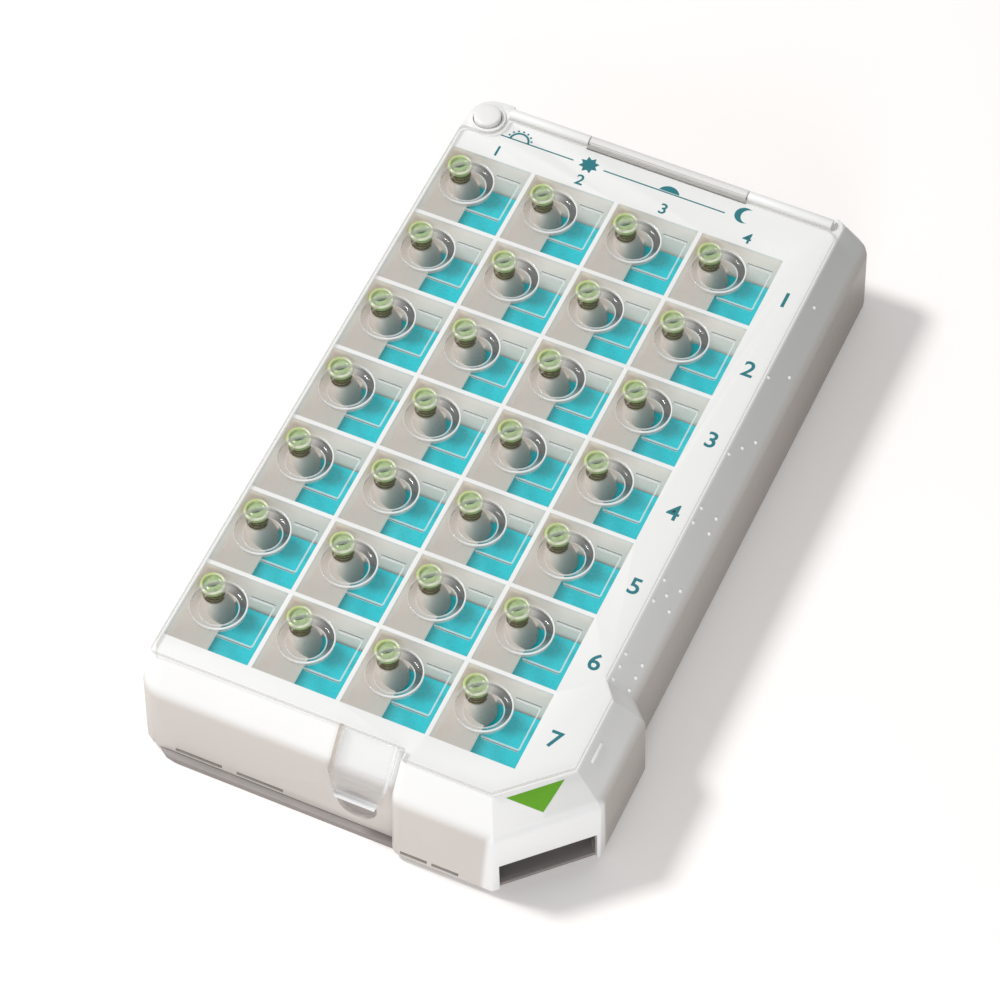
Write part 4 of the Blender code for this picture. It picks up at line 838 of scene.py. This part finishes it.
TONGUE_ROWS = (
    # outer y, outer z, inner y, inner z, left x, right x
    (-95.85, 34.88, -95.85, 33.32, -5.9, 10.4),
    (-96.9, 34.88, -96.3, 33.32, -5.9, 10.4),
    (-104.3, 25.6, -103.0, 24.9, -5.9, 10.4),
    (-104.5, 24.8, -103.05, 24.5, -5.9, 10.4),
    (-104.8, 15.6, -103.5, 15.6, -4.6, 7.5),
    (-104.95, 14.9, -103.55, 14.9, -4.45, 7.2),
    (-104.95, 13.7, -103.65, 13.7, -4.3, 6.95),
)
TONGUE_ROUND = 0.3 * MM
# Bands in millimetres, across and up, of the tongue's tip, sides, and its part under the shoulder
TIP_BAND, LEFT_BAND, RIGHT_BAND = (14.6, 16.2), (-5.2, -4.2), (9.3, 10.0)
BELOW_BAND, LINES_FROM = (23.8, 24.6), (20.4, 20.8)
LINE_PITCH, LINE_BAND = 1.1 * MM, (0.55, 0.95)
# Painted light and shade on the clear tongue: its denser white tip, right edge and thin lines under the
# shoulder are painted highlight, the brownish left strip is a painted reflection of the wall behind its edge,
# and the greyer part under the shoulder is painted shade.
TONGUE_WHITE, TONGUE_PAINTED_HIGHLIGHT_LINE = (0.90, 0.91, 0.92, 1.0), (0.93, 0.93, 0.93, 1.0)
TONGUE_LEFT_PAINTED_REFLECTION, TONGUE_BELOW_PAINTED_SHADE = (0.50, 0.43, 0.37, 1.0), (0.62, 0.60, 0.58, 1.0)
BELOW_SHARE = 0.6
TONGUE_ALPHA, TIP_ALPHA, LEFT_ALPHA, RIGHT_ALPHA = 0.14, 0.7, 0.35, 0.5
LINE_ALPHA, BELOW_ALPHA = 0.4, 0.08

tongue_mix = Plastic("clear_tongue_plastic", IOR=PLASTIC_IOR, Roughness=0.06)
tongue_across, _, tongue_height = tongue_mix.coordinates()
tip = tongue_height.falling(TIP_BAND)
left_strip = tongue_across.falling(LEFT_BAND)
right_edge = tongue_across.rising(RIGHT_BAND)
below = tongue_height.falling(BELOW_BAND)
lines = (tongue_height * (math.pi / LINE_PITCH)).worked("SINE").between(*LINE_BAND)
lines = lines * below * tongue_height.rising(LINES_FROM)
tongue_tone = tongue_mix.mixed(left_strip, TONGUE_WHITE, TONGUE_LEFT_PAINTED_REFLECTION)
tongue_tone = tongue_mix.mixed(below * (1.0 - tip) * BELOW_SHARE, tongue_tone, TONGUE_BELOW_PAINTED_SHADE)
tongue_tone = tongue_mix.mixed(lines, tongue_tone, TONGUE_PAINTED_HIGHLIGHT_LINE)
tongue_alpha = TONGUE_ALPHA + tip * TIP_ALPHA + left_strip * LEFT_ALPHA + right_edge * RIGHT_ALPHA
tongue_alpha = tongue_alpha + lines * LINE_ALPHA + below * BELOW_ALPHA
tongue_clear = tongue_mix.feed(Base_Color=tongue_tone, Alpha=tongue_alpha)

shape = bmesh.new()
rings = []
for outer_y, outer_z, inner_y, inner_z, left, right in TONGUE_ROWS:
    outer = ((left, outer_y, outer_z), (right, outer_y, outer_z))
    inner = ((right, inner_y, inner_z), (left, inner_y, inner_z))
    rings.append([shape.verts.new((x * MM, y * MM, z * MM)) for x, y, z in outer + inner])
for upper, lower in zip(rings, rings[1:]):
    for step in range(4):
        shape.faces.new((upper[step], upper[(step + 1) % 4], lower[(step + 1) % 4], lower[step]))
shape.faces.new(rings[0][::-1])
shape.faces.new(rings[-1])
bmesh.ops.recalc_face_normals(shape, faces=shape.faces)
tongue_mesh = bpy.data.meshes.new("latch_tongue")
shape.to_mesh(tongue_mesh)
shape.free()
tongue = mesh_object("latch_tongue", tongue_mesh, tongue_clear)
tongue_edges = tongue.modifiers.new("edges", "BEVEL")
tongue_edges.width = TONGUE_ROUND
tongue_edges.segments = 2
tongue_edges.limit_method = "ANGLE"
settled(tongue)
fitted(tongue, "lid", "clear_plastic")

# Hinge barrel: a clear rod with a pin at each end, which turns in the back panel's knuckles. It is
# moulded with the lid and joined to the sheet's back edge by a web.

hinge = frame["record"]["behaviour"]["joints"][0]["pos_m"]
BARREL_ENDS = (-24.9, 21.9)
BARREL_RADIUS = 1.7
PIN_RADIUS = 0.8
PIN_REACH = 2.0
ROD_BEVEL = 0.2
WEB_FRONT, WEB_BACK, WEB_LOW, WEB_HIGH = 99.9, 101.0, 33.35, 34.85
RAIL_TINT, RAIL_EDGE = (0.90, 0.89, 0.87, 1.0), (0.88, 0.86, 0.84, 1.0)
rail_clear = clear_plastic("milky_rail_plastic", RAIL_TINT, see_through=0.78, edgeways=0.1, edge=RAIL_EDGE)


def rod_along_x(low, high, radius, segments=32):
    """A rod on the lid's hinge axis, between two places across the box in millimetres."""
    ends = radius - ROD_BEVEL
    profile = (
        (0, low), (ends, low), (radius, low + ROD_BEVEL), (radius, high - ROD_BEVEL), (ends, high), (0, high)
    )
    rod = turned(profile, segments)
    rod.transform(Matrix.Translation((0, hinge[1], hinge[2])) @ Matrix.Rotation(math.radians(90), 4, "Y"))
    return rod


low_end, high_end = BARREL_ENDS
for name, rod in (
    ("hinge_barrel", rod_along_x(low_end, high_end, BARREL_RADIUS)),
    ("hinge_pin", rod_along_x(low_end - PIN_REACH, high_end + PIN_REACH, PIN_RADIUS)),
):
    shaded_by_angle(rod)
    fitted(mesh_object(name, rod, rail_clear), "lid", "clear_plastic")
WEB = ((low_end, WEB_FRONT), (high_end, WEB_FRONT), (high_end, WEB_BACK), (low_end, WEB_BACK))
web = sheet_of([(x * MM, y * MM) for x, y in WEB], WEB_LOW, WEB_HIGH)
fitted(mesh_object("hinge_web", web, clear), "lid", "clear_plastic")

# Printing: teal day-part signs and numbers and the green outlet triangle, pad printed on the
# white moulding in a layer that stands a few hundredths of a millimetre proud.

DECK_TOP = 33.0
INK, INK_ROOT = 0.03, 0.02
TEAL_INK, GREEN_INK = (0.0, 0.19, 0.225, 1.0), (0.15, 0.42, 0.03, 1.0)
INK_SHADE, INK_PER_METRE = 0.82, 1500.0
INK_DULL, INK_SPREAD = 0.36, 0.16


def ink(name, colour):
    """Printing ink, slightly patchy in its tone and its gloss."""
    mix = Plastic(name, Specular_IOR_Level=0.15)
    patchy = mix.noise(mix.place, INK_PER_METRE, 3.0)
    darker = tuple(channel * INK_SHADE for channel in colour[:3]) + (1.0,)
    return mix.feed(Base_Color=mix.mixed(patchy, colour, darker), Roughness=INK_DULL + patchy * INK_SPREAD)


teal_ink = ink("teal_printing_ink", TEAL_INK)
green_ink = ink("green_printing_ink", GREEN_INK)


def fan(centre, radius, first, last, steps=14):
    """Points on an arc between two angles in degrees."""
    turns = [math.radians(first + (last - first) * step / steps) for step in range(steps + 1)]
    return [(centre[0] + math.cos(t) * radius, centre[1] + math.sin(t) * radius) for t in turns]


def bar(x, y, wide, tall=0.4):
    """A straight printed line's outline."""
    return [(x, y), (x + wide, y), (x + wide, y + tall), (x, y + tall)]


SIGN_LINE = 94.7
SUNRISE = (-43.2, SIGN_LINE)
NOON = (-22.2, 94.9)
SUNSET = (1.6, SIGN_LINE + 0.4)
NIGHT = (23.4, 96.0)
SUNRISE_OUTER, SUNRISE_INNER, RAY_INNER, RAY_OUTER = 2.95, 2.35, 3.2, 3.75
NOON_POINT, NOON_DENT, NOON_STEPS = 2.9, 1.85, 16
SUNSET_RADIUS, SUNSET_DROP, SUNSET_FIRST, SUNSET_LAST = 3.25, 1.25, 22.6, 157.4
MOON_RADIUS, MOON_BITE, BITE_SHIFT = 2.7, 2.42, 1.5
LINE_LOW = SIGN_LINE - 0.2
noon_turns = [(step, 360.0 / NOON_STEPS * step) for step in range(NOON_STEPS)]
signs = [
    fan(SUNRISE, SUNRISE_OUTER, 0, 180) + fan(SUNRISE, SUNRISE_INNER, 180, 0),
    [fan(NOON, NOON_POINT if step % 2 else NOON_DENT, turn, turn, 1)[0] for step, turn in noon_turns],
    fan((SUNSET[0], SUNSET[1] - SUNSET_DROP), SUNSET_RADIUS, SUNSET_FIRST, SUNSET_LAST),
    fan(NIGHT, MOON_RADIUS, 70, 290, 20) + fan((NIGHT[0] + BITE_SHIFT, NIGHT[1]), MOON_BITE, 272, 88, 16),
    bar(-48.6, LINE_LOW, 21.8),
    bar(-17.8, LINE_LOW, 36.0),
]
for turn in range(18, 163, 24):
    ray = fan(SUNRISE, RAY_INNER, turn - 5, turn + 5, 1) + fan(SUNRISE, RAY_OUTER, turn + 4, turn - 4, 1)
    signs.append(ray)


def inked(name, shapes, low, high, material, slot_name):
    """Flat shapes in one thin printed piece."""
    joined = bmesh.new()
    for outline in shapes:
        part = sheet_of([(x * MM, y * MM) for x, y in outline], low, high)
        joined.from_mesh(part)
        bpy.data.meshes.remove(part)
    mesh = bpy.data.meshes.new(name)
    joined.to_mesh(mesh)
    joined.free()
    return fitted(mesh_object(name, mesh, material), "box", slot_name)


inked("day_part_signs", signs, DECK_TOP - INK_ROOT, DECK_TOP + INK, teal_ink, "white_plastic")

# The column and row numbers: heights and places in millimetres, and the type's size and boldness
COLUMN_NUMBER_TALL, ROW_NUMBER_TALL = 3.5, 5.0
COLUMN_NUMBER_Y, ROW_NUMBER_X = 89.2, 44.5
TYPE_SIZE, TYPE_BOLD = 1.42, 0.022


def printed_number(text, x, y, tall):
    """A plain number in print, centred on a place in millimetres."""
    curve = bpy.data.curves.new(f"number_{text}", "FONT")
    curve.body = text
    curve.size = tall * TYPE_SIZE * MM
    curve.align_x = "CENTER"
    curve.extrude = INK * MM
    curve.offset = tall * TYPE_BOLD * MM
    curve.resolution_u = 6
    holder = bpy.data.objects.new("number", curve)
    bpy.context.scene.collection.objects.link(holder)
    graph = bpy.context.evaluated_depsgraph_get()
    graph.update()
    mesh = bpy.data.meshes.new_from_object(holder.evaluated_get(graph))
    bpy.data.objects.remove(holder)
    mesh.transform(Matrix.Translation((x * MM, (y - tall / 2) * MM, DECK_TOP * MM)))
    return mesh


numbers = bmesh.new()
for column in range(COLUMNS):
    middle_x = (CROSSING.x + PITCH_X * (column + 0.5)) / MM
    numbers.from_mesh(printed_number(str(column + 1), middle_x, COLUMN_NUMBER_Y, COLUMN_NUMBER_TALL))
for row in range(ROWS):
    middle_y = (CROSSING.y - PITCH_Y * (row + 0.5)) / MM
    numbers.from_mesh(printed_number(str(row + 1), ROW_NUMBER_X, middle_y, ROW_NUMBER_TALL))
number_mesh = bpy.data.meshes.new("numbers")
numbers.to_mesh(number_mesh)
numbers.free()
fitted(mesh_object("printed_numbers", number_mesh, teal_ink), "box", "white_plastic")

# The outlet's triangle lies on the cut-off corner's face
TRIANGLE = ((40.24, -97.37, 32.19), (51.38, -86.43, 32.21), (49.26, -94.74, 27.44))
TRIANGLE_ROOT = 0.05
corners = [Vector(corner) * MM for corner in TRIANGLE]
out = (corners[1] - corners[0]).cross(corners[2] - corners[0]).normalized()
if out.z < 0:
    out = -out
shape = bmesh.new()
upper = [shape.verts.new(corner + out * INK * MM) for corner in corners]
lower = [shape.verts.new(corner - out * TRIANGLE_ROOT * MM) for corner in corners]
shape.faces.new(upper)
shape.faces.new(lower[::-1])
for step in range(3):
    after = (step + 1) % 3
    shape.faces.new((upper[step], lower[step], lower[after], upper[after]))
bmesh.ops.recalc_face_normals(shape, faces=shape.faces)
triangle_mesh = bpy.data.meshes.new("outlet_triangle")
shape.to_mesh(triangle_mesh)
shape.free()
fitted(mesh_object("outlet_triangle", triangle_mesh, green_ink), "box", "green_plastic")

# Touch marks: small raised domes on the right-hand bevel that tell the days apart by touch,
# moulded with the casing.

SLOPE = ((49.5, 33.0), (56.8, 24.8))
HIP_SLOPE = ((53.4, 33.0), (61.3, 24.8))
# Each day's domes: place across the box, and forward or back of the middle of the day's row
DAY_MARKS = (
    ((51.9, 2.7),),
    ((50.1, 0.0), (54.1, 5.4)),
    ((54.1, 7.3), (52.1, 2.7), (50.2, -1.9)),
    ((50.3, 4.6), (54.1, 5.8), (50.2, -0.5), (54.2, 0.8)),
    ((50.4, 5.4), (54.4, 6.7), (52.3, 2.5), (50.4, -1.6), (54.3, -0.4)),
    ((50.4, 5.9), (54.5, 7.1), (50.5, 1.9), (54.5, 3.0), (50.5, -2.3), (54.5, -1.1)),
)
LAST_DAY_BAR = ((55.3, -72.2), (55.3, -78.7))
DOME_RADIUS = 0.5 * MM
MARK_WHITE = (0.93, 0.93, 0.93, 1.0)
MARK_CREASE = 80.0
BAR_RADIUS, BAR_SHOULDER, BAR_TIP, BAR_BEND = 0.42, 0.3, 0.15, 0.5


def on_slope(x, y, slope=SLOPE):
    """The place on the bevelled side that lies over a place on the table."""
    (high_x, high_z), (low_x, low_z) = slope
    return Vector((x, y, high_z + (x - high_x) * (low_z - high_z) / (low_x - high_x))) * MM


DOME_INPUTS = (("Radius", "NodeSocketFloat"), ("Material", "NodeSocketMaterial"))
dome_tree, recipe, given = geometry_tree("domes_on_points", DOME_INPUTS)
dome = recipe.add("GeometryNodeMeshUVSphere", {}, {"Segments": 12, "Rings": 8, "Radius": given["Radius"]})
domes = recipe.add("GeometryNodeInstanceOnPoints", feeds={"Points": given["Geometry"], "Instance": dome})
ended(recipe, domes, given["Material"])
places = []
for row, day in enumerate(DAY_MARKS):
    middle_y = (CROSSING.y - PITCH_Y * (row + 0.5)) / MM
    places += [on_slope(x, middle_y + y) for x, y in day]
spots = bpy.data.meshes.new("dome_spots")
spots.from_pydata(places, [], [])
dome_white = satin_white("satin_white_marks", MARK_WHITE)
dome_values = {"Radius": DOME_RADIUS, "Material": dome_white}
marks = grown("touch_marks", spots, dome_tree, dome_values, dome_white, MARK_CREASE)
fitted(marks, "box", "white_plastic")
bar_back, bar_front = (on_slope(x, y, HIP_SLOPE) for x, y in LAST_DAY_BAR)
bar_length = (bar_back - bar_front).length / MM
ridge = turned((
    (0, 0), (BAR_SHOULDER, BAR_TIP), (BAR_RADIUS, BAR_BEND), (BAR_RADIUS, bar_length - BAR_BEND),
    (BAR_SHOULDER, bar_length - BAR_TIP), (0, bar_length),
), 16)
ridge.transform(Matrix.Translation(bar_front) @ Matrix.Rotation(math.radians(-90), 4, "X"))
shaded_by_angle(ridge, MARK_CREASE)
fitted(mesh_object("last_day_mark", ridge, dome_white), "box", "white_plastic")

# Room: a white table and soft light from the upper left, at a level where colours show as written.
# The camera sees a plain white surrounding, also through clear plastic; reflections see a dimmer one.

SURROUND = 0.45
TABLE_WHITE, TABLE_GLOW = (0.93, 0.90, 0.88, 1.0), (0.11, 0.11, 0.11, 1.0)
TABLE_HALF, TABLE_LOW = 4, -2.0

world = bpy.data.worlds.new("white_surround")
bpy.context.scene.world = world
world.use_nodes = True
air = Recipe(world.node_tree)
seen = air.add("ShaderNodeLightPath", give="Is Camera Ray")
plain = seen.worked("MAXIMUM", seen, seen.part("Is Transmission Ray"))
air.tree.nodes["Background"].inputs["Color"].default_value = (1.0, 1.0, 1.0, 1.0)
strength = SURROUND + plain * (1 - SURROUND)
air.tree.links.new(strength.socket, air.tree.nodes["Background"].inputs["Strength"])

floor_mix = Plastic(
    "white_table", Base_Color=TABLE_WHITE, Roughness=0.6, IOR=1.45, Emission_Strength=1.0
)
camera_ray = floor_mix.add("ShaderNodeLightPath", give="Is Camera Ray")
floor_white = floor_mix.feed(Emission_Color=floor_mix.mixed(camera_ray, BLACK, TABLE_GLOW))
table_corners = [(x * TABLE_HALF, y * TABLE_HALF) for x, y in ((-1, -1), (1, -1), (1, 1), (-1, 1))]
floor = mesh_object("table_top", sheet_of(table_corners, TABLE_LOW, 0.0), floor_white)


def lamp(name, place, aim, size, watts):
    """A round soft lamp that points at a place."""
    light = bpy.data.lights.new(name, "AREA")
    light.shape = "DISK"
    light.size = size
    light.energy = watts
    holder = bpy.data.objects.new(name, light)
    holder.location = place
    holder.rotation_euler = (Vector(aim) - Vector(place)).to_track_quat("-Z", "Y").to_euler()
    bpy.context.scene.collection.objects.link(holder)


lamp("window_light", place=(-0.94, -0.08, 1.29), aim=(0, 0, 0), size=0.32, watts=16.2)
lamp("front_fill", place=(0.38, -0.87, 0.40), aim=(0, 0, 0.01), size=0.6, watts=3.0)

# The camera's place and turn, solved from the photograph's grid of walls and the box's edges
EYE = (0.27804, -0.60441, 0.97193)
FOCAL_LENGTH, SENSOR_WIDE, CLIP_NEAR, CLIP_FAR = 158.3, 36.0, 0.05, 50.0
AZIMUTH, ELEVATION, ROLL = math.radians(-25.17), math.radians(55.33), math.radians(-0.80)
toward = Vector((
    math.sin(AZIMUTH) * math.cos(ELEVATION), math.cos(AZIMUTH) * math.cos(ELEVATION), -math.sin(ELEVATION)
))
level = Vector((math.cos(AZIMUTH), -math.sin(AZIMUTH), 0))
above = level.cross(toward)
right = level * math.cos(ROLL) + above * math.sin(ROLL)
up = above * math.cos(ROLL) - level * math.sin(ROLL)
lens = bpy.data.cameras.new("photo_view")
lens.sensor_width = SENSOR_WIDE
lens.lens = FOCAL_LENGTH
lens.clip_start = CLIP_NEAR
lens.clip_end = CLIP_FAR
camera = bpy.data.objects.new("photo_view", lens)
camera.matrix_world = Matrix((
    (right.x, up.x, -toward.x, EYE[0]), (right.y, up.y, -toward.y, EYE[1]),
    (right.z, up.z, -toward.z, EYE[2]), (0, 0, 0, 1),
))
bpy.context.scene.collection.objects.link(camera)
bpy.context.scene.camera = camera
bpy.context.scene.view_settings.view_transform = "Standard"
